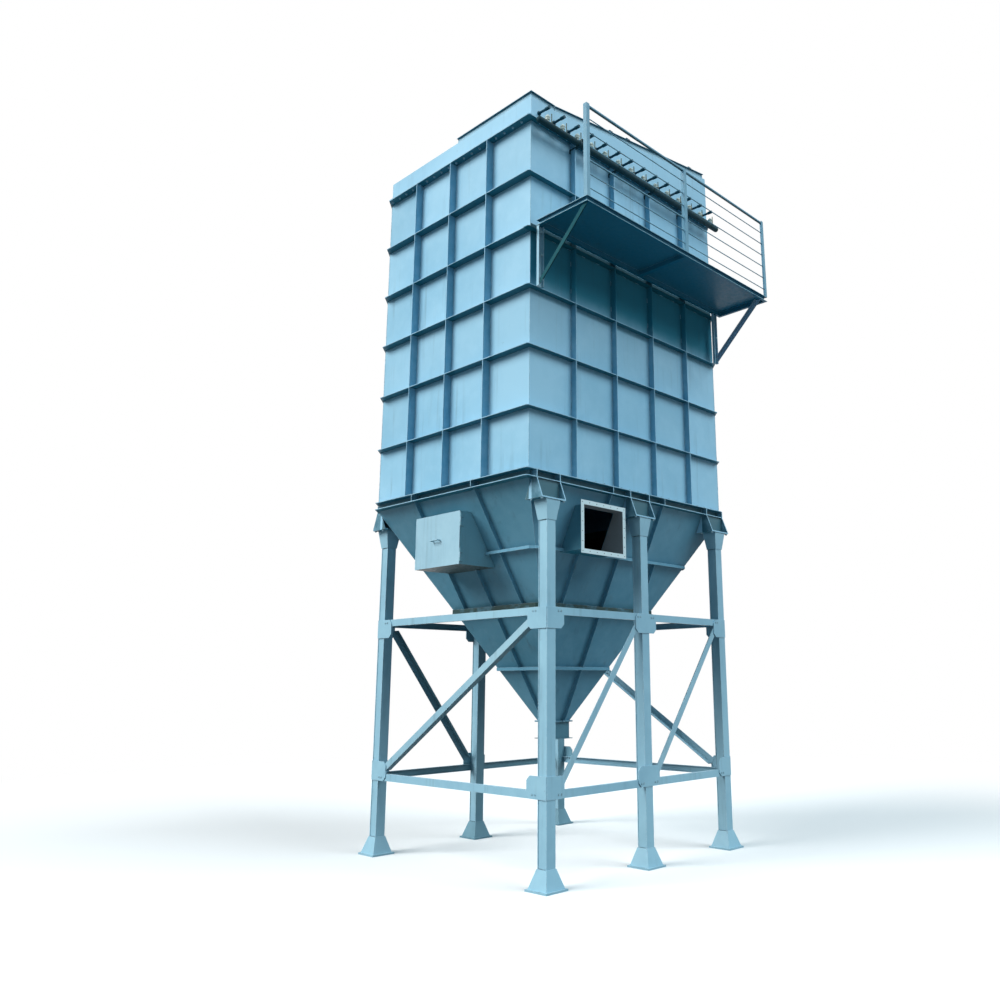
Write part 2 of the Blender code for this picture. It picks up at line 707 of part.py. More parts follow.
def build_hopper():
    """Pyramid shell of four ribbed plates, cut for the inlet and the manhole."""
    bars = [hopper_ring(level, drop) for level, drop in zip(HOPPER_RINGS, HOPPER_RING_DROPS)]
    first, second, third = HOPPER_RINGS
    lap = HOPPER_BAR_PLATE / 2
    for offset in (-END_RIB_OFFSET, END_RIB_OFFSET):
        bars.extend(hopper_ribs("x", offset, HOPPER_TOP, first + lap))
    for offset in (-FRONT_RIB_OFFSET, FRONT_RIB_OFFSET):
        bars.extend(hopper_ribs("y", offset, HOPPER_TOP, first + lap))
    for offset in (-SECOND_END_RIB_OFFSET, 0, SECOND_END_RIB_OFFSET):
        bars.extend(hopper_ribs("x", offset, first + lap, second + lap))
    for offset in (-SECOND_FRONT_RIB_OFFSET, 0, SECOND_FRONT_RIB_OFFSET):
        bars.extend(hopper_ribs("y", offset, first + lap, second + lap))
    flange_top = HOPPER_BOTTOM + SPIGOT_FLANGE_PLATE
    for along in ("x", "y"):
        bars.extend(hopper_ribs(along, 0, second + lap, third + lap))
        bars.extend(hopper_ribs(along, 0, third + lap, flange_top))
    flange = grown((OUTLET_HALF, OUTLET_HALF), SPIGOT_FLANGE)
    bars.append(frustum(flange, flange, HOPPER_BOTTOM, flange_top))
    frame = fuse(*bars)
    cut(frame, access_envelope(SEAM), inlet_block(INLET_PLATE + SEAM, -BODY_DEPTH, 0))
    body = fuse(hopper_envelope(0), frame)
    hollow = frustum(grown(hopper_half(HOPPER_BOTTOM - HOPPER_PLATE), -HOPPER_PLATE),
                     grown(hopper_half(HOPPER_TOP + HOPPER_PLATE), -HOPPER_PLATE),
                     HOPPER_BOTTOM - HOPPER_PLATE, HOPPER_TOP + HOPPER_PLATE)
    middle = ACCESS_BOTTOM + ACCESS_HEIGHT / 2
    manhole = box((-BODY_LENGTH, ACCESS_CENTRE_Y - MANHOLE_WIDTH / 2, middle - MANHOLE_HEIGHT / 2),
                  (-OUTLET_HALF, ACCESS_CENTRE_Y + MANHOLE_WIDTH / 2, middle + MANHOLE_HEIGHT / 2))
    cut(body, hollow, manhole, inlet_block(0, -BODY_DEPTH, -OUTLET_HALF))
    for name, quarter in hopper_quarters():
        piece(f"hopper_{name}", combine(twin(body), [quarter], "INTERSECT"), PAINT)
    bpy.data.objects.remove(body, do_unlink=True)


def build_outlet():
    """Square discharge spigot with a flange at each end."""
    tube = (OUTLET_HALF, OUTLET_HALF)
    bore = grown(tube, -SPIGOT_PLATE)
    wide = grown(tube, SPIGOT_FLANGE)
    top = -SEAM
    body = fuse(frustum(tube, tube, -SPIGOT_LENGTH, top),
                frustum(wide, wide, top - SPIGOT_FLANGE_PLATE, top),
                frustum(wide, wide, -SPIGOT_LENGTH, SPIGOT_FLANGE_PLATE - SPIGOT_LENGTH))
    cut(body, frustum(bore, bore, -2 * SPIGOT_LENGTH, SPIGOT_LENGTH))
    piece("hopper_outlet", body, PAINT, (0, 0, HOPPER_BOTTOM))


def build_inlet():
    """Rectangular inlet duct with an angle flange, scribed to the sloping hopper."""
    face = -HALF_DEPTH - INLET_FACE
    duct = inlet_block(INLET_PLATE, face, -OUTLET_HALF)
    flange = inlet_block(INLET_PLATE + INLET_FLANGE, face, face + INLET_FLANGE_PLATE)
    body = fuse(duct, flange)
    cut(body, hopper_envelope(SEAM), inlet_block(0, -BODY_DEPTH, 0))
    piece("inlet_duct", body, INLET_PAINT)


def hinge_levels():
    """Middle heights of the access door's two hinges."""
    middle = ACCESS_BOTTOM + ACCESS_HEIGHT / 2
    return middle - HINGE_SPREAD, middle + HINGE_SPREAD


def build_access_box():
    """Box around the manhole, with a rim for the door and the fixed half of its hinges."""
    face = -HALF_LENGTH - ACCESS_FACE
    half = ACCESS_WIDTH / 2
    top = ACCESS_BOTTOM + ACCESS_HEIGHT
    side = ACCESS_CENTRE_Y - half
    far_side = ACCESS_CENTRE_Y + half
    body = cut(box((face, side, ACCESS_BOTTOM), (-OUTLET_HALF, far_side, top)),
               box((face + ACCESS_PLATE, side + ACCESS_PLATE, ACCESS_BOTTOM + ACCESS_PLATE),
                   (0, far_side - ACCESS_PLATE, top - ACCESS_PLATE)),
               box((-BODY_LENGTH, side + ACCESS_RIM, ACCESS_BOTTOM + ACCESS_RIM),
                   (0, far_side - ACCESS_RIM, top - ACCESS_RIM)),
               hopper_envelope(SEAM))
    hinges = []
    leaf_end = face + HINGE_LEAF_REACH
    for level in hinge_levels():
        start = level - HINGE_KNUCKLES * HINGE_KNUCKLE / 2
        finish = start + HINGE_KNUCKLES * HINGE_KNUCKLE
        for low in (start, finish - HINGE_KNUCKLE):
            high = low + HINGE_KNUCKLE
            hinges.append(rod((HINGE_X, HINGE_Y, low), (HINGE_X, HINGE_Y, high), 2 * HINGE_RADIUS))
            hinges.append(box((HINGE_X, HINGE_Y - HINGE_LEAF / 2, low),
                              (leaf_end, HINGE_Y + HINGE_LEAF / 2, high)))
            hinges.append(box((face + HINGE_RADIUS, HINGE_Y - HINGE_LEAF / 2, low),
                              (leaf_end, side + WELD, high)))
        hinges.append(rod((HINGE_X, HINGE_Y, start + WELD), (HINGE_X, HINGE_Y, finish - WELD),
                          2 * HINGE_PIN_RADIUS))
    piece("access_box", fuse(body, *hinges), PAINT)


def build_door():
    """Access door on a vertical hinge line, with its knuckles and a pull handle."""
    pivot = bpy.data.objects.new("access_door_pivot", None)
    pivot.location = (HINGE_X, HINGE_Y, 0)
    pivot.parent = GROUND
    PART.objects.link(pivot)
    half = ACCESS_WIDTH / 2
    middle = ACCESS_BOTTOM + ACCESS_HEIGHT / 2
    near = ACCESS_CENTRE_Y - half - HINGE_Y
    far = near + ACCESS_WIDTH
    back = DOOR_PLATE - SEAM
    front = back - DOOR_PLATE
    body = box((front, near, ACCESS_BOTTOM), (back, far, ACCESS_BOTTOM + ACCESS_HEIGHT))
    handle_y = (near + far) / 2
    reach = front - HANDLE_STAND
    grip = HANDLE_LENGTH / 2
    solids = [rod((reach, handle_y - grip - HANDLE_RADIUS, middle),
                  (reach, handle_y + grip + HANDLE_RADIUS, middle), 2 * HANDLE_RADIUS)]
    for end in (handle_y - grip, handle_y + grip):
        solids.append(rod((back - WELD, end, middle), (reach, end, middle), 2 * HANDLE_RADIUS))
    for level in hinge_levels():
        room = (HINGE_KNUCKLES - 2) * HINGE_KNUCKLE / 2 - HINGE_PLAY
        low = level - room
        high = level + room
        knuckle = fuse(rod((0, 0, low), (0, 0, high), 2 * HINGE_RADIUS),
                       box((-HINGE_LEAF / 2, 0, low), (HINGE_LEAF / 2, near + HINGE_RADIUS, high)))
        bore = 2 * (HINGE_PIN_RADIUS + HINGE_PLAY)
        cut(knuckle, rod((0, 0, low - HINGE_RADIUS), (0, 0, high + HINGE_RADIUS), bore))
        solids.append(knuckle)
    piece("access_door", fuse(body, *solids), DOOR_PAINT, parent=pivot)


def gusset(reach_low, reach_high, bottom, top):
    """Outline of a bracing gusset with cut corners where it reaches past the leg."""
    low_cut = GUSSET_CHAMFER if reach_low > LEG_HALF else 0
    high_cut = GUSSET_CHAMFER if reach_high > LEG_HALF else 0
    outline = [(low_cut - reach_low, bottom), (reach_high - high_cut, bottom)]
    if high_cut:
        outline += [(reach_high, bottom + high_cut), (reach_high, top - high_cut)]
    outline.append((reach_high - high_cut, top))
    outline.append((low_cut - reach_low, top))
    if low_cut:
        outline += [(-reach_low, top - low_cut), (-reach_low, bottom + low_cut)]
    return outline


def gusset_spans():
    """Bottom and top of the gussets at the upper and at the lower beams."""
    half = BEAM_HEIGHT / 2
    return ((UPPER_BEAM + half - GUSSET_HEIGHT, UPPER_BEAM + half),
            (LOWER_BEAM - half, LOWER_BEAM - half + GUSSET_HEIGHT))


def build_leg(name, along, side):
    """One leg. along is -1, 0 or 1 for its place along X, side is -1 in front, 1 at the back."""
    head = LEG_TOP - HEAD_PLATE
    flare = (LEG_HALF + BOOT_MARGIN, LEG_HALF + BOOT_MARGIN)
    boot = (BOOT_WIDTH / 2, BOOT_WIDTH / 2)
    plate = (FOOT_PLATE / 2, FOOT_PLATE / 2)
    crown = (HEAD_LENGTH / 2, HEAD_DEPTH / 2)
    solids = [frustum(plate, plate, 0, FOOT_THICKNESS),
              frustum(boot, flare, FOOT_THICKNESS - WELD, BOOT_TOP),
              frustum(flare, crown, head - HEAD_HEIGHT, head + WELD),
              frustum(crown, crown, head, LEG_TOP),
              box((-LEG_WEB / 2, -LEG_HALF + WELD, WELD), (LEG_WEB / 2, LEG_HALF - WELD, head + WELD))]
    for face in (-1, 1):
        low, high = sorted((face * LEG_HALF, face * (LEG_HALF - LEG_FLANGE)))
        solids.append(box((-LEG_HALF, low, WELD), (LEG_HALF, high, head + WELD)))
    reach_low = LEG_HALF + (GUSSET_REACH if along >= 0 else 0)
    reach_high = LEG_HALF + (GUSSET_REACH if along <= 0 else 0)
    for bottom, top in gusset_spans():
        low, high = sorted((side * (LEG_HALF - WELD), side * (LEG_HALF + GUSSET_PLATE)))
        solids.append(prism(gusset(reach_low, reach_high, bottom, top), "y", low, high))
        if along:
            low, high = sorted((along * (LEG_HALF - WELD), along * (LEG_HALF + GUSSET_PLATE)))
            inward = LEG_HALF + END_GUSSET_REACH
            ends = (LEG_HALF, inward) if side < 0 else (inward, LEG_HALF)
            solids.append(prism(gusset(*ends, bottom, top), "x", low, high))
    piece(name, fuse(*solids), LEG_PAINT, (along * LEG_X, side * LEG_Y, 0))


def build_legs():
    """Six legs, three along each long side."""
    for side, side_name in ((-1, "front"), (1, "back")):
        for along, place in ((-1, "left"), (0, "middle"), (1, "right")):
            build_leg(f"leg_{side_name}_{place}", along, side)


def build_beams():
    """Horizontal channels between the legs, webs outward behind the gussets."""
    face = LEG_HALF - WELD - SEAM
    for level, tier in ((UPPER_BEAM, "upper"), (LOWER_BEAM, "lower")):
        span = LEG_X - LEG_SECTION - 2 * BEAM_END_GAP
        for side, side_name in ((-1, "front"), (1, "back")):
            for centre, place in ((-LEG_X / 2, "left"), (LEG_X / 2, "right")):
                outline = channel_outline(BEAM_HEIGHT, BEAM_FLANGE, BEAM_PLATE, -side)
                piece(f"{tier}_beam_{side_name}_{place}", prism(outline, "x", -span / 2, span / 2),
                      LEG_PAINT, (centre, side * (LEG_Y + face), level))
        span = 2 * LEG_Y - LEG_SECTION - 2 * BEAM_END_GAP
        for along, place in ((-1, "left"), (1, "right")):
            outline = channel_outline(BEAM_HEIGHT, BEAM_FLANGE, BEAM_PLATE, -along)
            piece(f"{tier}_beam_{place}", prism(outline, "y", -span / 2, span / 2),
                  LEG_PAINT, (along * (LEG_X + face), 0, level))


def angle_outline(width, plate, inward):
    """Angle section: one leg flat on the frame's plane, the other inward along its lower edge."""
    half = width / 2
    return [(0, -half), (inward * width, -half), (inward * width, plate - half),
            (inward * plate, plate - half), (inward * plate, half), (0, half)]


def build_braces():
    """Diagonal angles: two in front, one at the back and one in each end frame."""
    low = LOWER_BEAM + BEAM_HEIGHT / 2 + BRACE_LIFT
    high = UPPER_BEAM + BEAM_HEIGHT / 2 - BRACE_DROP
    face = LEG_HALF - WELD - SEAM
    inset = LEG_HALF + BRACE_INSET
    end_inset = LEG_HALF + END_BRACE_INSET
    bays = (("front_left", -1, (-LEG_X + inset, low), (-inset, high)),
            ("front_right", -1, (inset, low), (LEG_X - inset, high)),
            ("back_left", 1, (-inset, low), (-LEG_X + inset, high)))
    for name, side, start, end in bays:
        run = end[0] - start[0]
        rise = end[1] - start[1]
        half = math.hypot(run, rise) / 2
        outline = angle_outline(BRACE_WIDTH, BRACE_PLATE, -side)
        piece(f"brace_{name}", prism(outline, "x", -half, half), LEG_PAINT,
              ((start[0] + end[0]) / 2, side * (LEG_Y + face), (start[1] + end[1]) / 2),
              (0, -math.atan2(rise, run), 0))
    for name, along, slant in (("left", -1, -1), ("right", 1, 1)):
        run = 2 * (LEG_Y - end_inset)
        rise = high - low
        half = math.hypot(run, rise) / 2
        outline = angle_outline(BRACE_WIDTH, BRACE_PLATE, -along)
        piece(f"brace_{name}", prism(outline, "y", -half, half), LEG_PAINT,
              (along * (LEG_X + face), 0, (low + high) / 2),
              (slant * math.atan2(rise, run), 0, 0))


def build_deck():
    """Platform deck: plate on a channel rim with its toes outward, and one middle arm."""
    centre = ((DECK_LEFT + DECK_RIGHT) / 2, (DECK_FRONT + DECK_BACK) / 2)
    rim = ((DECK_RIGHT - DECK_LEFT) / 2, DECK_DEPTH / 2)
    web = grown(rim, DECK_PLATE - DECK_EDGE_FLANGE)
    inside = grown(web, -DECK_PLATE)
    lower = DECK_PLATE - DECK_EDGE
    arm = DECK_ARM_X - centre[0]
    arm_half = DECK_ARM_WIDTH / 2
    solids = [frustum(rim, rim, -DECK_PLATE, 0), loop(web, inside, -DECK_EDGE, -DECK_PLATE + WELD),
              loop(rim, inside, -DECK_EDGE, lower),
              box((arm - arm_half, WELD - web[1], -DECK_EDGE),
                  (arm + arm_half, web[1] - WELD, WELD - DECK_PLATE))]
    piece("platform_deck", fuse(*solids), DECK_PAINT, (*centre, DECK_TOP))


def build_brackets():
    """Wall posts and diagonal struts that carry the platform's two ends."""
    foot = level_of_row(3) + STIFFENER_PLATE + SEAM
    top = DECK_UNDERSIDE - SEAM
    outline = channel_outline(WALL_POST_WIDTH, WALL_POST_DEPTH, WALL_POST_PLATE, -1)
    turned = [(up, across) for across, up in outline]
    face = DECK_BACK - WALL_POST_DEPTH
    low = Vector((face - SEAM, foot + STRUT_FOOT))
    high = Vector((DECK_FRONT + STRUT_WIDTH, top))
    lean = high - low
    reach = STRUT_WIDTH
    for side, place in ((-1, "left"), (1, "right")):
        centre = side * WALL_POST_X
        post = prism(turned, "z", foot, top)
        piece(f"wall_post_{place}", post, PAINT, (centre, DECK_BACK, 0))
        half = lean.length / 2 + reach
        strut = prism(angle_outline(STRUT_WIDTH, STRUT_PLATE, -side), "y", -half, half)
        middle = (low + high) / 2
        turn = Matrix.Rotation(math.atan2(lean.y, lean.x), 4, "X")
        strut.data.transform(Matrix.Translation((0, middle.x, middle.y)) @ turn)
        cut(strut, box((-STRUT_WIDTH, face - SEAM, 0), (STRUT_WIDTH, 0, CASING_TOP)),
            box((-STRUT_WIDTH, DECK_FRONT - reach, top), (STRUT_WIDTH, 0, CASING_TOP)))
        piece(f"platform_strut_{place}", strut, PAINT, (side * (WALL_POST_X + STRUT_WIDTH / 2), 0, 0))


def build_railing():
    """Guard rail: three angle posts, a top rail and rows of thin rods."""
    floor = DECK_TOP + SEAM
    top = DECK_TOP + RAIL_HEIGHT
    line = DECK_FRONT + RAIL_POST / 2
    posts = ((DECK_LEFT, 1), (RAIL_POST_MIDDLE, 1), (DECK_RIGHT, -1))
    solids = []
    for edge, inward in posts:
        profile = [(0, 0), (RAIL_POST, 0), (RAIL_POST, RAIL_POST_PLATE),
                   (RAIL_POST_PLATE, RAIL_POST_PLATE), (RAIL_POST_PLATE, RAIL_POST), (0, RAIL_POST)]
        outline = [(edge + inward * across, DECK_FRONT + out) for across, out in profile]
        solids.append(prism(outline, "z", floor, top))
    left = DECK_LEFT + WELD
    right = DECK_RIGHT - WELD
    rail = top - RAIL_TUBE / 2
    solids.append(rod((left, line, rail), (right, line, rail), RAIL_TUBE))
    for row in range(RAIL_RODS):
        level = DECK_TOP + RAIL_ROD_FIRST + row * RAIL_ROD_PITCH
        solids.append(rod((left, line, level), (right, line, level), RAIL_ROD, ROD_SIDES))
    knee = DECK_TOP + RAIL_ROD_FIRST + RAIL_KNEE_ROW * RAIL_ROD_PITCH
    solids.append(rod((left, line, knee), (RAIL_POST_MIDDLE + WELD, line, knee), RAIL_KNEE, ROD_SIDES))
    piece("guard_rail", fuse(*solids), PAINT)


def pulse_valve(place, axis_y, header_z):
    """Riser, valve body and blow pipe at one place along the header."""
    level = CASING_TOP + BLOW_PIPE_HEIGHT
    wall = -HALF_DEPTH - SEAM
    mouth = axis_y - BLOW_PIPE_OVERRUN
    low = CASING_TOP + VALVE_BODY_LIFT
    high = level - BLOW_PIPE_DIAMETER / 2 + WELD
    socket = mouth + BLOW_SOCKET_LENGTH
    return [rod((place, axis_y, header_z), (place, axis_y, level), VALVE_RISER_DIAMETER),
            rod((place, axis_y, low), (place, axis_y, high), VALVE_BODY_DIAMETER),
            rod((place, mouth, level), (place, wall, level), BLOW_PIPE_DIAMETER, ROD_SIDES),
            rod((place, mouth, level), (place, socket, level), BLOW_SOCKET_DIAMETER, ROD_SIDES)]


def build_header():
    """Air header pipe on straps from the wall's ribs, with a row of pulse valves."""
    axis_y = -STIFFENER_FACE - HEADER_CLEARANCE - HEADER_DIAMETER / 2
    axis_z = CASING_TOP - HEADER_DROP
    half = HEADER_LENGTH / 2
    solids = [rod((-half, axis_y, axis_z), (half, axis_y, axis_z), HEADER_DIAMETER)]
    for line in column_lines(BODY_LENGTH, FRONT_COLUMNS):
        place = line - HALF_LENGTH
        solids.append(box((place - HEADER_STRAP / 2, axis_y, axis_z - HEADER_STRAP_HEIGHT / 2),
                          (place + HEADER_STRAP / 2, DECK_BACK, axis_z + HEADER_STRAP_HEIGHT / 2)))
    for number in range(VALVES):
        place = (number - (VALVES - 1) / 2) * VALVE_PITCH
        solids.extend(pulse_valve(place, axis_y, axis_z))
    piece("air_header", fuse(*solids), HEADER_PAINT)


def centre_on_ground():
    """Shift the plant so that the middle of its footprint is the world origin."""
    bpy.context.view_layer.update()
    corners = [item.matrix_world @ Vector(corner)
               for item in PART.objects if item.type == "MESH" for corner in item.bound_box]
    middle = [(min(point[axis] for point in corners) + max(point[axis] for point in corners)) / 2
              for axis in (0, 1)]
    GROUND.location = (-middle[0], -middle[1], 0)


PART, CUTTERS = start_clean()
GROUND = bpy.data.objects.new("ground_centre", None)
PART.objects.link(GROUND)

PAINT = paint("casing_paint", (0.36, 0.55, 0.66), 0.45)
LEG_PAINT = paint("frame_paint", (0.28, 0.44, 0.54), 0.5)
DOOR_PAINT = paint("door_paint", (0.42, 0.58, 0.66), 0.45)
INLET_PAINT = paint("inlet_paint", (0.45, 0.63, 0.72), 0.5)
DECK_PAINT = paint("deck_paint", (0.10, 0.20, 0.25), 0.6)
HEADER_PAINT = paint("header_paint", (0.07, 0.06, 0.055), 0.55)

build_walls()
build_plenum()
build_clean_air_outlet()
build_lids()
build_ring()
build_hopper()
build_outlet()
build_inlet()
build_access_box()
build_door()
build_legs()
build_beams()
build_braces()
build_deck()
build_brackets()
build_railing()
build_header()
centre_on_ground()
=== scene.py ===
"""Looks of the baghouse dust collector: paint, fasteners, welds, valves, tread plate, floor and light."""

import logging
import math
from collections.abc import Iterable, Sequence
from dataclasses import dataclass, field
from enum import Enum
from functools import reduce

import bmesh
import bpy
from mathutils import Matrix, Vector


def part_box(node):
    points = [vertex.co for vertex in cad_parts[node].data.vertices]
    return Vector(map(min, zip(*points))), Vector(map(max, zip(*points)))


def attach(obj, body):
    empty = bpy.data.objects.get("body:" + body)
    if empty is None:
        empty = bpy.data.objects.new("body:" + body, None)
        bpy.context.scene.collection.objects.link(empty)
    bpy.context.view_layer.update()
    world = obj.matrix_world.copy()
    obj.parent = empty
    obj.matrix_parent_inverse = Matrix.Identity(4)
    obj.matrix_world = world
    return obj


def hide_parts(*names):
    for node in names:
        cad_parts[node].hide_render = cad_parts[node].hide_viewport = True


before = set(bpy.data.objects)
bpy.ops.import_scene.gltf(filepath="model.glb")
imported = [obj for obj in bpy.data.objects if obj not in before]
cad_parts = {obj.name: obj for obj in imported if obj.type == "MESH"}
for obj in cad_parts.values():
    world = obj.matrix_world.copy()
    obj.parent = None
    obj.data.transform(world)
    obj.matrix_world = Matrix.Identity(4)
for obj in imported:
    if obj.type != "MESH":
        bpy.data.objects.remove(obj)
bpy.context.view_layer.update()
LOG = logging.getLogger("dust_collector")

Point = tuple[float, float, float]
Colour = tuple[float, float, float]
Pairs = Sequence[tuple[float, float]]
Socket = bpy.types.NodeSocket
Material = bpy.types.Material
Ring = list[bmesh.types.BMVert]

# Seed of everything that is drawn at random
SEED = 17
# Body of the record that every added piece rides on
BODY = "collector"
# Side of the image that the camera frames, in pixels
IMAGE_SIZE = 1000
# Middle of the casing, which every place below is measured from
FRONT_LOW, FRONT_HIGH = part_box("front_wall")
BACK_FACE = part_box("back_wall")[1].y
MIDDLE = Vector(((FRONT_LOW.x + FRONT_HIGH.x) / 2, (FRONT_LOW.y + BACK_FACE) / 2, 0.0))
UP, DOWN = Vector((0.0, 0.0, 1.0)), Vector((0.0, 0.0, -1.0))
ALONG = Vector((1.0, 0.0, 0.0))
SIDES = (-1, 1)
# Places of the legs along the casing, and the line that they stand on to each side
LEGS = (-1.53, 0.0, 1.53)
LEG_LINE = 1.425


class Slot(Enum):
    """Material slots of the record."""

    CASING = "casing_paint"
    FRAME = "frame_paint"
    DOOR = "door_paint"
    INLET = "inlet_paint"
    DECK = "deck_paint"
    HEADER = "header_paint"


@dataclass(frozen=True)
class Casing:
    """Sizes of the stiffened box, from its middle."""

    half_length: float = 1.75
    half_depth: float = 1.371
    base: float = 4.146
    top: float = 8.314
    reach: float = 0.08
    end_reach: float = 0.105
    rows: tuple[float, ...] = (4.827, 5.520, 6.213, 6.906, 7.599, 8.314)
    long_ribs: tuple[float, ...] = (-1.09, -0.38, 0.33, 1.04)
    end_ribs: tuple[float, ...] = (0.711, 0.017, -0.677)
    plate: float = 0.008


CASING = Casing()


def spot(x: float, y: float, z: float) -> Vector:
    """Place in the frame of a point measured from the casing's middle."""
    return MIDDLE + Vector((x, y, z))


def linear(value: int) -> float:
    """Linear share of a display value from 0 to 255."""
    share = value / 255
    return share / 12.92 if share <= 0.04045 else ((share + 0.055) / 1.055) ** 2.4


def srgb(red: int, green: int, blue: int) -> Colour:
    """Linear colour of three display values from 0 to 255."""
    return linear(red), linear(green), linear(blue)


# The common sky blue and its faded tone, the dark teal of painted shade on undersides and of panel tone,
# painted shade on rib flanks and under the platform, and the darker ones
SKY_BLUE = srgb(142, 194, 220)
PALE_BLUE = srgb(158, 206, 230)
SHADE_AND_TONE_TEAL = srgb(0, 96, 116)
RIB_FLANK_SHADE = srgb(108, 168, 198)
SHADED_TEAL = srgb(14, 124, 148)
# Deepest painted shadow, just under the platform's deck
DEEPEST_SHADOW_TEAL = srgb(0, 54, 62)
RING_BAND_GREY = srgb(34, 58, 52)
DUST_BROWN = srgb(44, 34, 26)
WHITE = (1.0, 1.0, 1.0)


class Net:
    """Short forms for the nodes of any tree."""

    def __init__(self, tree: bpy.types.NodeTree) -> None:
        """Hold the tree."""
        self.tree = tree

    def node(self, kind: str, inputs: dict | None = None, **settings: object) -> bpy.types.Node:
        """Add a node.

        Args:
            kind: Its Blender type.
            inputs: Values or sockets by input name or number.
            **settings: Its properties.

        Returns:
            The new node.
        """
        made = self.tree.nodes.new(kind)
        for key, value in settings.items():
            setattr(made, key, value)
        for key, value in (inputs or {}).items():
            self.feed(made.inputs[key], value)
        return made

    def feed(self, socket: Socket, value: object) -> None:
        """Link a socket to another, or set its constant.

        Args:
            socket: The input to feed.
            value: A socket, a number, a datablock, or a colour or vector of three parts.
        """
        if isinstance(value, bpy.types.NodeSocket):
            self.tree.links.new(value, socket)
        elif isinstance(value, tuple) and len(value) == 3 and socket.type == "RGBA":
            socket.default_value = (*value, 1.0)
        else:
            socket.default_value = value

    def calc(self, operation: str, first: object, second: object = 0.0, third: object = 0.0) -> Socket:
        """One arithmetic step on numbers."""
        inputs = {0: first, 1: second, 2: third}
        return self.node("ShaderNodeMath", inputs, operation=operation).outputs["Value"]

    def product(self, *factors: object) -> Socket:
        """Product of two or more numbers."""
        return reduce(lambda total, factor: self.calc("MULTIPLY", total, factor), factors)

    def above(self, value: object, level: object) -> Socket:
        """One where a value is above a level."""
        return self.calc("GREATER_THAN", value, level)

    def below(self, value: object, level: object) -> Socket:
        """One where a value is below a level."""
        return self.calc("LESS_THAN", value, level)

    def axis(self, vector: Socket, name: str) -> Socket:
        """One component of a vector."""
        return self.node("ShaderNodeSeparateXYZ", {"Vector": vector}).outputs[name]

    def surround(self) -> Socket:
        """One for the rays that see the white surround.

        Returns:
            The mask of camera, glossy and transmission rays.
        """
        rays = self.node("ShaderNodeLightPath").outputs
        direct = self.calc("MAXIMUM", rays["Is Camera Ray"], rays["Is Glossy Ray"])
        return self.calc("MAXIMUM", direct, rays["Is Transmission Ray"])


class Graph(Net):
    """Short forms for the nodes of one material."""

    def __init__(self, name: str) -> None:
        """Start an empty node tree with its output.

        Args:
            name: Name of the material.
        """
        self.material = bpy.data.materials.new(name)
        self.material.use_nodes = True
        super().__init__(self.material.node_tree)
        self.tree.nodes.clear()
        self.output = self.tree.nodes.new("ShaderNodeOutputMaterial")

    def place(self) -> Socket:
        """Object coordinates."""
        return self.node("ShaderNodeTexCoord").outputs["Object"]

    def normal(self) -> Socket:
        """The surface's own normal."""
        return self.node("ShaderNodeNewGeometry").outputs["Normal"]

    def level(self) -> Socket:
        """Height of the surface in the frame."""
        return self.axis(self.place(), "Z")

    def facing(self, name: str) -> Socket:
        """One component of the surface's normal."""
        return self.axis(self.normal(), name)

    def vector(self, operation: str, first: object, second: object = (0.0, 0.0, 0.0)) -> Socket:
        """One arithmetic step on vectors."""
        made = self.node("ShaderNodeVectorMath", {0: first, 1: second}, operation=operation)
        return made.outputs["Value" if operation in ("DOT_PRODUCT", "LENGTH") else "Vector"]

    def noise(self, scale: float, detail: float = 4.0, at: object = None, rough: float = 0.55) -> Socket:
        """Noise value around one half, with so many waves in a metre."""
        inputs = {"Vector": at or self.place(), "Scale": scale, "Detail": detail, "Roughness": rough}
        return self.node("ShaderNodeTexNoise", inputs).outputs["Fac"]

    def span(self, value: object, low: float, high: float, start: float = 0.0, end: float = 1.0) -> Socket:
        """Smooth step of a value, from start at its low limit to end at its high limit."""
        inputs = {"Value": value, "From Min": low, "From Max": high, "To Min": start, "To Max": end}
        return self.node("ShaderNodeMapRange", inputs, interpolation_type="SMOOTHSTEP").outputs["Result"]

    def patches(self, scale: float, detail: float, low: float, high: float, start: float = 0.0,
                end: float = 1.0) -> Socket:
        """Noise cut into patches by a smooth step."""
        return self.span(self.noise(scale, detail), low, high, start, end)

    def blend(self, share: object, first: object, second: object) -> Socket:
        """Mix two colours, with a share of the second."""
        inputs = {0: share, 6: first, 7: second}
        return self.node("ShaderNodeMix", inputs, data_type="RGBA", blend_type="MIX").outputs[2]

    def steps(self, value: Socket, levels: Iterable[float]) -> Socket:
        """Number of levels that a value has passed."""
        return reduce(lambda total, level: self.calc("ADD", self.above(value, level), total), levels, 0.0)

    def bump(self, height: Socket, distance: float, strength: float = 1.0, **over: Socket) -> Socket:
        """Relief of so many metres from a height from 0 to 1, over the surface or another Normal."""
        inputs = {"Height": height, "Distance": distance, "Strength": strength, **over}
        return self.node("ShaderNodeBump", inputs).outputs["Normal"]

    def finish(self, colour: object, roughness: object, metallic: object, normal: Socket,
               **further: object) -> Material:
        """Close the tree with its surface shader.

        Args:
            colour: Base colour.
            roughness: Roughness.
            metallic: Metallic share.
            normal: Normal.
            **further: Further shader inputs by name, with _ for a space.

        Returns:
            The material.
        """
        inputs = {"Base Color": colour, "Roughness": roughness, "Metallic": metallic, "Normal": normal}
        inputs.update({name.replace("_", " "): value for name, value in further.items()})
        shader = self.node("ShaderNodeBsdfPrincipled", inputs)
        self.feed(self.output.inputs["Surface"], shader.outputs["BSDF"])
        return self.material


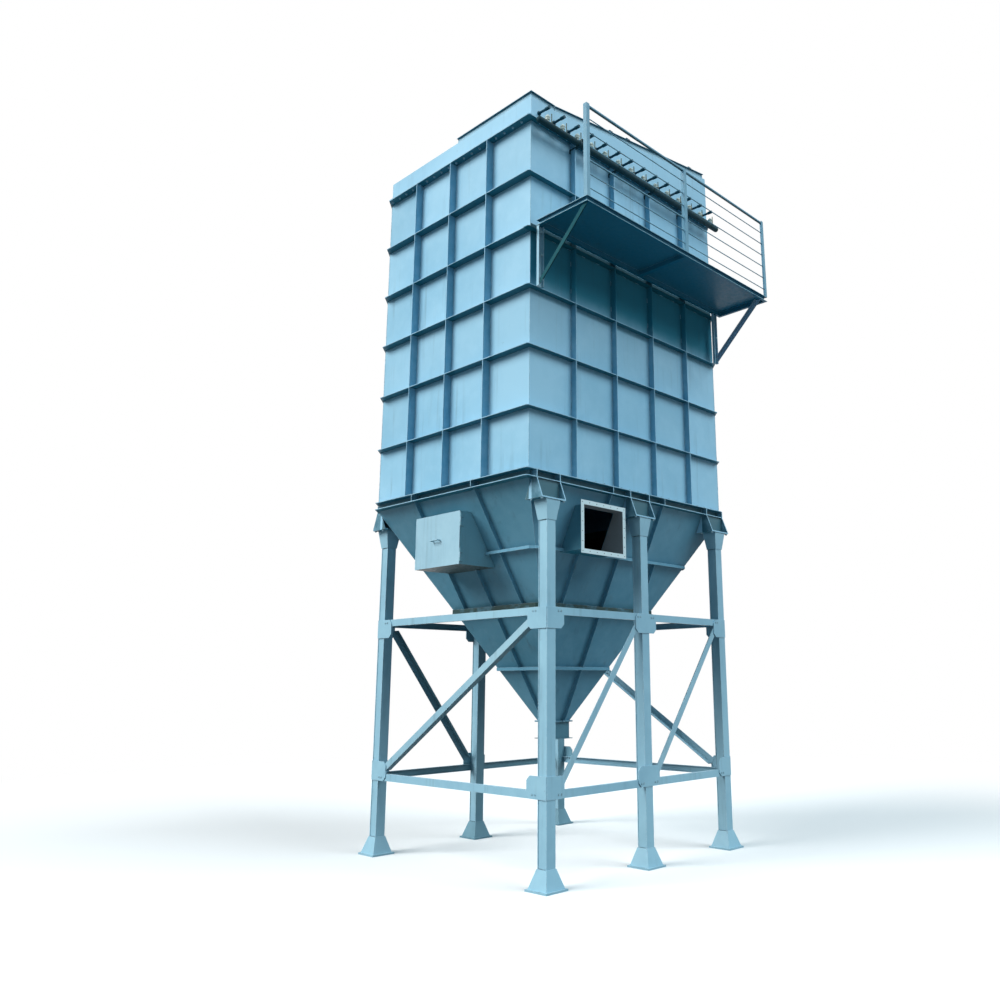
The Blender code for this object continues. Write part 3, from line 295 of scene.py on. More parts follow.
@dataclass(frozen=True)
class Paint:
    """Weathered sky-blue gloss paint on steel plate.

    Streaks run down the plate, painted shade darkens the corners under ledges and the
    undersides, and exposed edges are chalky with a painted highlight.
    """

    name: str
    colour: Colour
    faded: Colour
    # Painted shade on undersides and recesses, also the darker tone of random panels
    shade_and_tone: Colour
    # Colour of the rain streaks, and of the painted shade in corners
    grime_and_shade: Colour = srgb(62, 74, 72)
    rust: Colour = srgb(96, 58, 36)
    # Pale chalk on edges, which also paints their highlight
    chalk_and_highlight: Colour = srgb(206, 226, 236)
    streaks: float = 0.25
    rusting: float = 0.15
    # Share of chalk and painted highlight on exposed edges
    highlight_and_chalking: float = 0.6
    roughness: float = 0.42
    wave: float = 0.012
    # Painted shade on the flanks of bars and ribs
    flank_shade: Colour | None = None
    inside: Colour | None = None
    panels: bool = False
    ring_band: tuple[float, float] | None = None
    hollow: tuple[Point, Point] = ((0.0, 0.0, 0.0), (1.0, 1.0, 0.0))
    # Share of painted shade in corners
    corner_shade: float = 0.5
    # Painted highlight: a lighter colour on faces that look to the front
    front: Colour | None = None
    # Painted shade on the web inside a channel's recess
    web: Colour | None = None
    # Painted shadow of the platform on the casing's front wall
    platform_shadow: bool = False
    # Point past and below which faces get painted shade
    recess: Point | None = None
    gloss: float = 0.2
    coat: float = 0.05

    def material(self) -> Material:
        """Build the whole finish."""
        return PaintWork(self).build()


class PaintWork(Graph):
    """Node tree of one paint, laid layer over layer."""

    # Levels between which the platform's painted shadow darkens the wall, and where it ends
    PLATFORM_SHADOW_LEVELS = (6.10, 6.52, 7.01)
    # Level above which the platform's painted shadow is deepest
    DEEPEST_SHADOW_LEVEL = 6.905
    # Reach of a channel's web past the wall
    WEB_REACH = 0.066
    # Scale of the rain streaks along each axis
    STREAK_SCALE = (11.0, 11.0, 0.5)

    def __init__(self, paint: Paint) -> None:
        """Start the tree.

        Args:
            paint: The paint.
        """
        super().__init__(paint.name)
        self.paint = paint
        self.tone: object = paint.colour
        self.rust: object = 0.0

    def over(self, share: object, colour: object) -> None:
        """Lay a share of a colour over the tone so far."""
        self.tone = self.blend(share, self.tone, colour)

    def fade(self) -> None:
        """Slow fading, and a small difference from panel to panel."""
        fading = self.patches(0.55, 3.0, 0.35, 0.68)
        mottle = self.patches(7.0, 5.0, 0.38, 0.72, 0.0, 0.35)
        self.over(self.calc("ADD", fading, mottle), self.paint.faded)
        if self.paint.panels:
            lines = {"X": [MIDDLE.x + line for line in CASING.long_ribs],
                     "Y": [MIDDLE.y + line for line in CASING.end_ribs], "Z": CASING.rows}
            cell = self.node("ShaderNodeCombineXYZ", {
                name: self.steps(self.axis(self.place(), name), levels) for name, levels in lines.items()})
            chance = self.node("ShaderNodeTexWhiteNoise", {"Vector": cell.outputs["Vector"]})
            self.over(self.product(chance.outputs["Value"], 0.14), self.paint.shade_and_tone)

    def stiffen(self) -> None:
        """Painted shade on the flanks of the casing's bars and ribs, weaker on faces that look up, and on a
        channel's web.
        """
        if self.paint.flank_shade is None:
            return
        place = self.vector("SUBTRACT", self.place(), tuple(MIDDLE))
        off = [self.calc("SUBTRACT", self.calc("ABSOLUTE", self.axis(place, name)), half)
               for name, half in (("X", CASING.half_length), ("Y", CASING.half_depth))]
        on_end = self.above(*off)
        facing = [self.calc("ABSOLUTE", self.facing(name)) for name in ("X", "Y")]
        outward = self.calc("ADD", self.product(facing[0], on_end),
                            self.product(facing[1], self.calc("SUBTRACT", 1.0, on_end)))
        reach = self.calc("MAXIMUM", *off)
        side = self.product(self.below(outward, 0.5), self.above(reach, 0.003))
        patchy = self.patches(6.0, 5.0, 0.30, 0.70, 0.45, 0.95)
        upward = self.span(self.facing("Z"), 0.3, 0.8, 1.0, 0.35)
        self.over(self.product(side, patchy, upward), self.paint.flank_shade)
        # Painted shade on the web inside the channel's recess
        if self.paint.web is not None:
            web = self.product(self.below(reach, self.WEB_REACH), self.above(outward, 0.5), 0.9)
            self.over(web, self.paint.web)

    def shade(self) -> None:
        """Painted highlight on faces that look to the front, and painted shadow on the wall under the
        platform.
        """
        # Painted highlight: faces that look to the front get a lighter colour
        if self.paint.front is not None:
            self.over(self.below(self.facing("Y"), -0.7), self.paint.front)
        if self.paint.platform_shadow:
            # Painted shadow on the wall under the platform, deepest just under the deck
            teal = self.blend(self.above(self.level(), self.DEEPEST_SHADOW_LEVEL), SHADED_TEAL, DEEPEST_SHADOW_TEAL)
            self.over(self.product(self.platform_shadow_mask(), 0.9), teal)

    def platform_shadow_mask(self) -> Socket:
        """Find the wall, its bars and its ribs under the platform, where its shadow is painted.

        Returns:
            Their mask.
        """
        start, end, top = self.PLATFORM_SHADOW_LEVELS
        uneven = self.calc("ADD", self.level(), self.product(self.noise(3.0, 3.0), 0.12))
        near = self.below(self.axis(self.place(), "Y"), MIDDLE.y - CASING.half_depth + 0.001)
        return self.product(self.span(uneven, start, end), self.below(self.level(), top), near)

    def shade_undersides(self) -> None:
        """Painted shade: a darker colour on faces that look down."""
        down = self.span(self.facing("Z"), -0.35, -0.9)
        self.over(self.product(down, 0.94), self.paint.shade_and_tone)

    def soil_and_shade(self) -> None:
        """Rain streaks, and painted shade in the corners from ambient occlusion."""
        mapping = self.node("ShaderNodeMapping", {"Vector": self.place(), "Scale": self.STREAK_SCALE})
        streaky = self.noise(1.0, 5.0, mapping.outputs["Vector"], 0.65)
        runs = self.span(streaky, 0.52, 0.74, 0.0, self.paint.streaks)
        self.over(self.product(runs, self.patches(1.3, 3.0, 0.40, 0.62)), self.paint.grime_and_shade)
        # Painted shade: darker where ambient occlusion finds a corner
        shade = self.node("ShaderNodeAmbientOcclusion", {"Distance": 0.07}, samples=6)
        corner = self.calc("POWER", self.calc("SUBTRACT", 1.0, shade.outputs["AO"]), 1.6)
        patchy = self.patches(16.0, 4.0, 0.3, 0.7, 0.35)
        self.over(self.product(corner, patchy, self.paint.corner_shade), self.paint.grime_and_shade)

    def dust(self) -> None:
        """Dust on the faces that look into the hopper or the duct."""
        if self.paint.inside is None:
            return
        core, plane = self.paint.hollow
        outward = self.vector("MULTIPLY", self.vector("SUBTRACT", self.place(), tuple(spot(*core))), plane)
        inward = self.below(self.vector("DOT_PRODUCT", outward, self.normal()), -0.03)
        if plane[1]:
            inward = self.product(inward, self.above(self.facing("Z"), 0.15))
        self.over(self.product(inward, 0.97), self.paint.inside)

    def darken_ring_band(self) -> None:
        """Dark grey-green band along one stiffening ring, between two levels."""
        if self.paint.ring_band is None:
            return
        low, high = self.paint.ring_band
        inside = self.product(self.above(self.level(), low), self.below(self.level(), high))
        patchy = self.patches(9.0, 6.0, 0.34, 0.60, 0.55, 0.95)
        self.over(self.product(inside, self.above(self.facing("Z"), -0.2), patchy), RING_BAND_GREY)

    def highlight_and_wear(self) -> None:
        """Chalky edges with a painted highlight, and specks of rust."""
        rounded = self.node("ShaderNodeBevel", {"Radius": 0.007}, samples=4).outputs["Normal"]
        edge = self.span(self.vector("DOT_PRODUCT", rounded, self.normal()), 0.985, 0.80)
        chips = self.product(self.patches(30.0, 5.0, 0.35, 0.62), self.span(self.facing("Z"), -0.7, -0.2))
        # No chalk or highlight inside the platform's painted shadow
        if self.paint.platform_shadow:
            chips = self.product(chips, self.calc("SUBTRACT", 1.0, self.platform_shadow_mask()))
        # Painted highlight on exposed edges, laid in the pale chalk colour
        self.over(self.product(edge, chips, self.paint.highlight_and_chalking), self.paint.chalk_and_highlight)
        specks = self.product(self.span(self.noise(11.0, 8.0, rough=0.7), 0.66, 0.72), self.paint.rusting)
        near_edge = self.product(edge, self.patches(5.0, 6.0, 0.58, 0.7, 0.0, self.paint.rusting * 3))
        self.rust = self.calc("MINIMUM", self.calc("ADD", specks, near_edge), 1.0)
        self.over(self.rust, self.paint.rust)

    def shade_past_recess(self) -> None:
        """Painted shade on the faces beyond and below the point of a recess."""
        if self.paint.recess is None:
            return
        beyond = self.vector("SUBTRACT", self.place(), tuple(spot(*self.paint.recess)))
        past = [self.above(self.axis(beyond, name), 0.0) for name in ("X", "Y")]
        self.over(self.product(*past, self.below(self.axis(beyond, "Z"), 0.0), 0.9), self.paint.shade_and_tone)

    def build(self) -> Material:
        """Lay every layer in order and close the tree.

        Returns:
            The material.
        """
        for layer in (self.fade, self.stiffen, self.shade, self.shade_undersides, self.soil_and_shade, self.dust, self.darken_ring_band,
                      self.highlight_and_wear, self.shade_past_recess):
            layer()
        paint = self.paint
        sheen = self.patches(24.0, 3.0, 0.3, 0.7, paint.roughness - 0.06, paint.roughness + 0.10)
        roughness = self.calc("MINIMUM", self.calc("ADD", sheen, self.product(self.rust, 0.35)), 1.0)
        coat: object = paint.coat
        # The platform's painted shadow also loses its coat and gloss
        if paint.platform_shadow:
            wall = self.platform_shadow_mask()
            coat = self.product(self.calc("SUBTRACT", 1.0, wall), paint.coat)
            roughness = self.calc("MAXIMUM", roughness, self.product(wall, 0.9))
        waves = self.bump(self.noise(1.7, 2.0), paint.wave, 0.6)
        skin = self.bump(self.noise(210.0, 2.0), 0.0006, 0.5, Normal=waves)
        return self.finish(self.tone, roughness, 0.0, skin, Specular_IOR_Level=paint.gloss, Coat_Weight=coat,
                           Coat_Roughness=0.25)


@dataclass(frozen=True)
class BareMetal:
    """Plated, cast or enamelled metal with a fine grain and spots of oxide."""

    name: str
    colour: Colour
    oxide: Colour
    roughness: float = 0.4
    metallic: float = 0.85
    spots: float = 0.4
    grain: float = 0.0004
    gloss: float = 0.5

    def material(self) -> Material:
        """Build the whole finish.

        Returns:
            The material.
        """
        graph = Graph(self.name)
        share = graph.patches(34.0, 6.0, 0.48, 0.70, 0.0, self.spots)
        metallic: object = self.metallic
        if self.metallic:
            metallic = graph.calc("SUBTRACT", self.metallic, graph.product(share, self.metallic))
        roughness = graph.calc("ADD", graph.product(share, 0.4), self.roughness)
        return graph.finish(graph.blend(share, self.colour, self.oxide), roughness, metallic,
                            graph.bump(graph.noise(320.0, 3.0), self.grain), Specular_IOR_Level=self.gloss)


class Tree(Net):
    """Short forms for one Geometry Nodes tree."""

    def __init__(self, name: str, **sizes: float) -> None:
        """Start a tree with a geometry input and one number input for each size.

        Args:
            name: Name of the tree.
            **sizes: Default values by input name.
        """
        super().__init__(bpy.data.node_groups.new(name, "GeometryNodeTree"))
        face = self.tree.interface
        for way in ("INPUT", "OUTPUT"):
            face.new_socket("Geometry", in_out=way, socket_type="NodeSocketGeometry")
        for key, value in sizes.items():
            face.new_socket(key, in_out="INPUT", socket_type="NodeSocketFloat").default_value = value
        self.entry = self.tree.nodes.new("NodeGroupInput")

    def size(self, name: str, factor: float = 1.0) -> Socket:
        """Socket of one of the tree's inputs, or of a multiple of it."""
        value = self.entry.outputs[name]
        return value if factor == 1.0 else self.product(value, factor)

    def vector(self, x: object = 0.0, y: object = 0.0, z: object = 0.0) -> Socket:
        """Vector of three numbers."""
        return self.node("ShaderNodeCombineXYZ", {"X": x, "Y": y, "Z": z}).outputs["Vector"]

    def drum(self, sides: int, radius: object, height: object, bottom: object = 0.0) -> Socket:
        """Upright cylinder that stands on a level.

        Args:
            sides: Number of its sides.
            radius: Its radius.
            height: Its height.
            bottom: Level of its lower end.

        Returns:
            The cylinder's geometry.
        """
        made = self.node("GeometryNodeMeshCylinder", {"Vertices": sides, "Radius": radius, "Depth": height})
        middle = self.calc("ADD", bottom, self.product(height, 0.5))
        return self.node("GeometryNodeTransform", {"Geometry": made.outputs["Mesh"],
                                                   "Translation": self.vector(z=middle)}).outputs["Geometry"]

    def chance(self, low: float, high: float) -> Socket:
        """Random number of each point."""
        return self.node("FunctionNodeRandomValue", {2: low, 3: high, 8: SEED}, data_type="FLOAT").outputs[1]

    def spin(self, angle: object) -> Socket:
        """Rotation about the Z axis."""
        inputs = {"Axis": (0.0, 0.0, 1.0), "Angle": angle}
        return self.node("FunctionNodeAxisAngleToRotation", inputs).outputs["Rotation"]

    def aim(self) -> Socket:
        """Turn the Z axis to the guide's facing.

        Returns:
            The rotation at each point.
        """
        facing = self.node("GeometryNodeInputNamedAttribute", {"Name": "facing"}, data_type="FLOAT_VECTOR")
        inputs = {"Vector": facing.outputs["Attribute"]}
        return self.node("FunctionNodeAlignRotationToVector", inputs, axis="Z").outputs["Rotation"]

    def scatter(self, part: Socket, material: Material, turn: Socket | None = None) -> None:
        """Set a part at every point of the guide and close the tree.

        Args:
            part: Geometry of the part.
            material: Its finish.
            turn: Rotation at each point, or none.
        """
        inputs = {"Points": self.size("Geometry"), "Instance": part}
        if turn is not None:
            inputs["Rotation"] = turn
        self.close(self.node("GeometryNodeInstanceOnPoints", inputs).outputs["Instances"], material)

    def close(self, geometry: Socket, material: Material) -> None:
        """End the tree with real geometry in one material.

        Args:
            geometry: What the tree has made.
            material: Material of all of it.
        """
        real = self.node("GeometryNodeRealizeInstances", {"Geometry": geometry})
        inputs = {"Geometry": real.outputs["Geometry"], "Material": material}
        painted = self.node("GeometryNodeSetMaterial", inputs)
        self.node("NodeGroupOutput", {"Geometry": painted.outputs["Geometry"]})

    def grow(self, name: str, guide: bpy.types.Mesh, **sizes: float) -> bpy.types.Mesh:
        """Run the tree on a guide mesh.

        Args:
            name: Name of the result.
            guide: Mesh of points or edges that the tree reads.
            **sizes: Values by input name, where they differ from the defaults.

        Returns:
            The plain mesh.
        """
        carrier = bpy.data.objects.new(name, guide)
        bpy.context.scene.collection.objects.link(carrier)
        step = carrier.modifiers.new("grow", "NODES")
        step.node_group = self.tree
        for item in self.tree.interface.items_tree:
            if item.item_type == "SOCKET" and item.in_out == "INPUT" and item.name in sizes:
                step[item.identifier] = sizes[item.name]
        view = bpy.context.evaluated_depsgraph_get()
        mesh = bpy.data.meshes.new_from_object(carrier.evaluated_get(view))
        carrier.modifiers.remove(step)
        bpy.data.objects.remove(carrier, do_unlink=True)
        mesh.name = name
        return mesh


def guide_mesh(points: Sequence[Vector], edges: Sequence[tuple[int, int]] = (),
               facings: Sequence[Vector] = ()) -> bpy.types.Mesh:
    """Make a mesh of points or edges for a tree to read.

    Args:
        points: Places of its points.
        edges: Pairs of point numbers.
        facings: Direction at each point, kept as the attribute facing.

    Returns:
        The mesh.
    """
    mesh = bpy.data.meshes.new("guide")
    mesh.from_pydata([tuple(point) for point in points], list(edges), [])
    if facings:
        layer = mesh.attributes.new("facing", "FLOAT_VECTOR", "POINT")
        for number, facing in enumerate(facings):
            layer.data[number].vector = facing
    return mesh


def show(name: str, mesh: bpy.types.Mesh, material: Material | None = None,
         smooth: float | None = None) -> bpy.types.Object:
    """Put a finished mesh in the scene as a piece of the collector.

    Args:
        name: Name of the piece.
        mesh: Its mesh, in the frame's own metres.
        material: Its material, or none to keep the mesh's own.
        smooth: Angle in degrees over which an edge stays sharp, or none for flat faces.

    Returns:
        The piece.
    """
    if material is not None:
        mesh.materials.clear()
        mesh.materials.append(material)
    if smooth is not None:
        mesh.shade_smooth()
        mesh.set_sharp_from_angle(angle=math.radians(smooth))
    item = bpy.data.objects.new(name, mesh)
    bpy.context.scene.collection.objects.link(item)
    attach(item, BODY)
    LOG.info("%s: %d faces", name, len(mesh.polygons))
    return item


class Sculpt:
    """Gathers simple solids into one mesh."""

    def __init__(self) -> None:
        """Start empty."""
        self.shape = bmesh.new()

    def block(self, low: Vector, high: Vector, chamfer: float = 0.0) -> "Sculpt":
        """Add a block between two corners.

        Args:
            low: One corner.
            high: The opposite corner.
            chamfer: Size of its cut edges.

        Returns:
            The same sculpt.
        """
        made = bmesh.ops.create_cube(self.shape, size=1.0)["verts"]
        middle, size = (low + high) / 2, high - low
        for corner in made:
            corner.co = Vector([part * abs(full) for part, full in zip(corner.co, size)]) + middle
        if chamfer:
            edges = list({edge for corner in made for edge in corner.link_edges})
            bmesh.ops.bevel(self.shape, geom=edges, offset=chamfer, segments=1, affect="EDGES")
        return self

    def wrap(self, loops: Iterable[tuple[Ring, Ring]]) -> None:
        """Close the wall between each pair of loops.

        Args:
            loops: Pairs of loops of corners.
        """
        for low, high in loops:
            for step, corner in enumerate(low):
                following = (step + 1) % len(low)
                self.shape.faces.new((corner, low[following], high[following], high[step]))

    def rings(self, start: Vector, toward: Vector, profile: Pairs, sides: int) -> list[Ring]:
        """Make rings of corners around an axis.

        Args:
            start: Origin of the axis.
            toward: Direction of the axis.
            profile: Pairs of distance along the axis and radius.
            sides: Number of corners of a ring.

        Returns:
            The rings.
        """
        turn = toward.to_track_quat("Z", "Y").to_matrix()
        angles = [math.tau * step / sides for step in range(sides)]
        around = [Vector((math.cos(angle), math.sin(angle), 0.0)) for angle in angles]
        return [[self.shape.verts.new(start + turn @ (radius * way + along * UP)) for way in around]
                for along, radius in profile]

    def turned(self, start: Vector, toward: Vector, profile: Pairs, sides: int = 20) -> "Sculpt":
        """Add a closed turned solid.

        Args:
            start: Origin of the axis.
            toward: Direction of the axis.
            profile: Pairs of distance along the axis and radius, from end to end.
            sides: Number of sides.

        Returns:
            The same sculpt.
        """
        rings = self.rings(start, toward, profile, sides)
        self.wrap(zip(rings, rings[1:]))
        self.shape.faces.new(list(reversed(rings[0])))
        self.shape.faces.new(rings[-1])
        return self

    def rod(self, start: Vector, end: Vector, radius: float, sides: int = 12) -> "Sculpt":
        """Add a round bar between two points."""
        run = end - start
        return self.turned(start, run, ((0.0, radius), (run.length, radius)), sides)

    def band(self, centre: Vector, toward: Vector, inner: float, outer: float, width: float) -> None:
        """Add a flat ring around an axis.

        Args:
            centre: Middle of the ring.
            toward: Its axis.
            inner: Inner radius.
            outer: Outer radius.
            width: Length along the axis.
        """
        half = width / 2
        rings = self.rings(centre, toward, ((-half, inner), (-half, outer), (half, outer), (half, inner)), 24)
        self.wrap(zip(rings, rings[1:] + rings[:1]))

    def prism(self, outline: Pairs, low: float, high: float) -> None:
        """Add an upright prism.

        Args:
            outline: Places of its corners in the frame.
            low: Level of its lower end.
            high: Level of its upper end.
        """
        ends = [[self.shape.verts.new((x, y, level)) for x, y in outline] for level in (low, high)]
        for end in ends:
            self.shape.faces.new(end)
        self.wrap([tuple(ends)])

    def mesh(self, name: str) -> bpy.types.Mesh:
        """Finish the gathered solids with their faces outward.

        Args:
            name: Name of the mesh.

        Returns:
            The mesh.
        """
        bmesh.ops.recalc_face_normals(self.shape, faces=self.shape.faces)
        made = bpy.data.meshes.new(name)
        self.shape.to_mesh(made)
        self.shape.free()
        return made


@dataclass
class PhotoCamera:
    """Camera at the photograph's place, read from the casing's vanishing lines."""

    place: Point = (-7.979, -7.936, 1.960)
    yaw: float = 0.816
    pitch: float = 0.226
    roll: float = -0.006
    focal_pixels: float = 881.8
    principal: tuple[float, float] = (577.6, 479.3)
    sensor: float = 36.0

    def build(self) -> None:
        """Make the camera and set it as the scene's."""
        forward = Vector((math.sin(self.yaw) * math.cos(self.pitch),
                          math.cos(self.yaw) * math.cos(self.pitch), math.sin(self.pitch)))
        right = Vector((math.cos(self.yaw), -math.sin(self.yaw), 0.0))
        up = right.cross(forward)
        turn_right = right * math.cos(self.roll) + up * math.sin(self.roll)
        turn_up = up * math.cos(self.roll) - right * math.sin(self.roll)
        lens = bpy.data.cameras.new("photo_camera")
        lens.sensor_width = self.sensor
        lens.lens = self.focal_pixels / IMAGE_SIZE * self.sensor
        lens.shift_x = (IMAGE_SIZE / 2 - self.principal[0]) / IMAGE_SIZE
        lens.shift_y = (self.principal[1] - IMAGE_SIZE / 2) / IMAGE_SIZE
        lens.clip_end = 500.0
        camera = bpy.data.objects.new("photo_camera", lens)
        turn = Matrix((turn_right, turn_up, -forward)).transposed().to_4x4()
        camera.matrix_world = Matrix.Translation(spot(*self.place)) @ turn
        bpy.context.scene.collection.objects.link(camera)
        bpy.context.scene.camera = camera


@dataclass(frozen=True)
class Lamp:
    """Distant lamp: its direction from the plant, irradiance, colour and apparent size in degrees."""

    name: str
    toward: Point
    strength: float
    colour: Colour
    angle: float

    def build(self) -> None:
        """Make the lamp."""
        light = bpy.data.lights.new(self.name, "SUN")
        light.energy = self.strength
        light.color = self.colour
        light.angle = math.radians(self.angle)
        item = bpy.data.objects.new(self.name, light)
        item.rotation_euler = Vector(self.toward).to_track_quat("Z", "Y").to_euler()
        bpy.context.scene.collection.objects.link(item)


@dataclass
class Studio:
    """Pale floor, white surround and soft daylight from the left and from the front."""

    floor_radius: float = 60.0
    fade: tuple[float, float] = (5.0, 15.0)
    ambient: Colour = (0.15, 0.22, 0.26)
    floor_lit: Colour = (0.16, 0.16, 0.16)
    floor_seen: Colour = (0.92, 0.92, 0.92)
    lamps: tuple[Lamp, ...] = (
        Lamp("key_light", (-0.85, 0.30, 0.60), 3.5, (1.0, 0.99, 0.97), 40.0),
        Lamp("front_light", (0.30, -0.85, 0.84), 2.4, (0.86, 0.96, 1.0), 44.0))

    def sky(self) -> None:
        """Dim sky that rays from the camera, gloss and glass see as white."""
        world = bpy.data.worlds.new("sky")
        bpy.context.scene.world = world
        world.use_nodes = True
        net = Net(world.node_tree)
        net.tree.nodes.clear()
        dim, bright = (net.node("ShaderNodeBackground", {"Color": colour}).outputs["Background"]
                       for colour in (self.ambient, WHITE))
        mix = net.node("ShaderNodeMixShader", {0: net.surround(), 1: dim, 2: bright})
        net.node("ShaderNodeOutputWorld", {"Surface": mix.outputs["Shader"]})

    def floor(self) -> None:
        """Round floor that fades to white away from the plant."""
        shape = bmesh.new()
        bmesh.ops.create_circle(shape, cap_ends=True, segments=96, radius=self.floor_radius)
        mesh = bpy.data.meshes.new("floor")
        shape.to_mesh(mesh)
        shape.free()
        floor = bpy.data.objects.new("floor", mesh)
        bpy.context.scene.collection.objects.link(floor)
        graph = Graph("pale_floor")
        seen = graph.surround()
        far = graph.span(graph.vector("LENGTH", graph.place()), *self.fade)
        grey = graph.blend(seen, self.floor_lit, self.floor_seen)
        matt = graph.node("ShaderNodeBsdfDiffuse", {"Color": grey})
        white = graph.node("ShaderNodeEmission", {"Color": WHITE})
        mix = graph.node("ShaderNodeMixShader", {0: graph.product(far, seen), 1: matt.outputs["BSDF"],
                                                 2: white.outputs["Emission"]})
        graph.feed(graph.output.inputs["Surface"], mix.outputs["Shader"])
        mesh.materials.append(graph.material)

    def build(self) -> None:
        """Make the floor and the light, and set the plain view."""
        self.floor()
        for lamp in self.lamps:
            lamp.build()
        self.sky()
        bpy.context.scene.view_settings.view_transform = "Standard"


DUCT_HOLLOW = ((-0.6225, 0.0, 3.635), (1.0, 0.0, 1.0))
FINISHES = (
    Paint("casing_skin", SKY_BLUE, PALE_BLUE, SHADE_AND_TONE_TEAL, flank_shade=RIB_FLANK_SHADE, panels=True, platform_shadow=True),
    Paint("ring_skin", srgb(134, 184, 208), PALE_BLUE, SHADE_AND_TONE_TEAL, flank_shade=srgb(52, 104, 122), rusting=0.4,
          web=srgb(50, 92, 102)),
    Paint("roof_skin", srgb(146, 196, 222), PALE_BLUE, SHADE_AND_TONE_TEAL, flank_shade=srgb(60, 116, 134)),
    Paint("hopper_skin", srgb(88, 144, 168), srgb(108, 162, 186), SHADE_AND_TONE_TEAL, inside=DUST_BROWN, rusting=0.35,
          ring_band=(2.775, 2.84), streaks=0.35),
    # Painted shade: the discharge is a darker copy of the hopper paint
    Paint("discharge_skin", srgb(66, 114, 132), srgb(84, 130, 148), SHADE_AND_TONE_TEAL, inside=DUST_BROWN, rusting=0.5,
          highlight_and_chalking=0.3),
    Paint("box_skin", srgb(112, 158, 174), srgb(130, 174, 188), srgb(40, 52, 48), rusting=0.4,
          front=srgb(148, 200, 216)),
    Paint("inlet_skin", srgb(64, 122, 144), srgb(84, 140, 160), SHADE_AND_TONE_TEAL, inside=srgb(146, 154, 160),
          hollow=DUCT_HOLLOW, front=srgb(206, 228, 234)),
    Paint("door_skin", srgb(148, 188, 206), srgb(164, 202, 218), SHADE_AND_TONE_TEAL),
    Paint("leg_skin", srgb(138, 182, 202), srgb(152, 196, 214), SHADE_AND_TONE_TEAL, rusting=0.25, wave=0.004,
          corner_shade=0.12),
    # Painted shade: the middle and right back legs and the back beams and braces get a darker copy of the leg
    # paint
    Paint("back_frame_skin", srgb(96, 140, 158), srgb(114, 156, 172), srgb(0, 60, 72), rusting=0.4,
          wave=0.004, corner_shade=0.3, highlight_and_chalking=0.3),
    Paint("brace_skin", srgb(140, 182, 200), srgb(156, 196, 212), SHADE_AND_TONE_TEAL, rusting=0.3, wave=0.004,
          corner_shade=0.2),
    Paint("deck_skin", srgb(124, 170, 186), srgb(146, 190, 204), srgb(0, 104, 134), rusting=0.45,
          highlight_and_chalking=0.25, recess=(-1.733, -2.226, 7.008)),
    Paint("rail_skin", srgb(96, 148, 172), srgb(116, 166, 188), srgb(30, 66, 74), rusting=0.4, wave=0.002,
          highlight_and_chalking=0.15),
    # Painted shade: the near strut is a dark copy of the far strut's paint
    Paint("strut_skin", srgb(30, 82, 92), srgb(42, 92, 100), srgb(0, 48, 56), rusting=0.1, wave=0.002,
          highlight_and_chalking=0.04, roughness=0.7, gloss=0.05, coat=0.0),
    Paint("far_strut_skin", srgb(140, 176, 204), srgb(160, 192, 216), srgb(84, 124, 148), wave=0.002),
    Paint("bead_skin", srgb(112, 160, 182), srgb(134, 180, 202), SHADE_AND_TONE_TEAL, wave=0.0, corner_shade=0.2),
    Paint("lid_skin", srgb(126, 174, 196), srgb(150, 194, 214), SHADE_AND_TONE_TEAL, rusting=0.3),
    BareMetal("header_skin", srgb(8, 52, 64), srgb(40, 60, 50), 0.6, 0.0, 0.7, gloss=0.15),
    BareMetal("zinc_steel", srgb(132, 170, 186), srgb(96, 92, 80), 0.42, 0.25),
    # Dark discs that stand for the shade inside bolt holes
    BareMetal("dark_bore", srgb(16, 30, 34), srgb(30, 26, 22), 0.7, 0.0),
    BareMetal("dark_tube", srgb(0, 62, 80), srgb(24, 50, 52), 0.5, 0.0, gloss=0.15),
    BareMetal("cream_enamel", srgb(196, 212, 206), srgb(120, 130, 112), 0.4, 0.0, 0.6),
    BareMetal("olive_tube", srgb(60, 74, 52), srgb(40, 40, 30), 0.5, 0.0))
# Finish of each node, by the start of its name; the first that fits counts
FINISH_OF = (
    ("plenum", "roof_skin"), ("clean_air", "roof_skin"), ("roof_lid", "lid_skin"),
    ("base_ring", "ring_skin"), ("hopper_outlet", "discharge_skin"), ("hopper", "hopper_skin"),
    ("inlet", "inlet_skin"), ("access_box", "box_skin"), ("access_door", "door_skin"),
    ("leg_back_middle", "back_frame_skin"), ("leg_back_right", "back_frame_skin"),
    ("brace_back", "back_frame_skin"), ("lower_beam_back", "back_frame_skin"),
    ("upper_beam_back", "back_frame_skin"), ("brace_right", "brace_skin"), ("leg", "leg_skin"),
    ("brace", "brace_skin"), ("upper_beam", "leg_skin"), ("lower_beam", "leg_skin"),
    ("platform_deck", "deck_skin"), ("platform_strut_right", "far_strut_skin"),
    ("platform_strut", "strut_skin"), ("wall_post", "leg_skin"), ("guard_rail", "rail_skin"),
    ("air_header", "header_skin"), ("", "casing_skin"))


@dataclass
class Dresser:
    """Puts the finishes on the nodes of the frame."""

    table: dict[str, Material] = field(default_factory=dict)

    def build(self) -> None:
        """Make every finish once and dress every node."""
        self.table = {finish.name: finish.material() for finish in FINISHES}
        for name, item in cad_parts.items():
            finish = next(finish for start, finish in FINISH_OF if name.startswith(start))
            item.data.materials.clear()
            item.data.materials.append(self.table[finish])


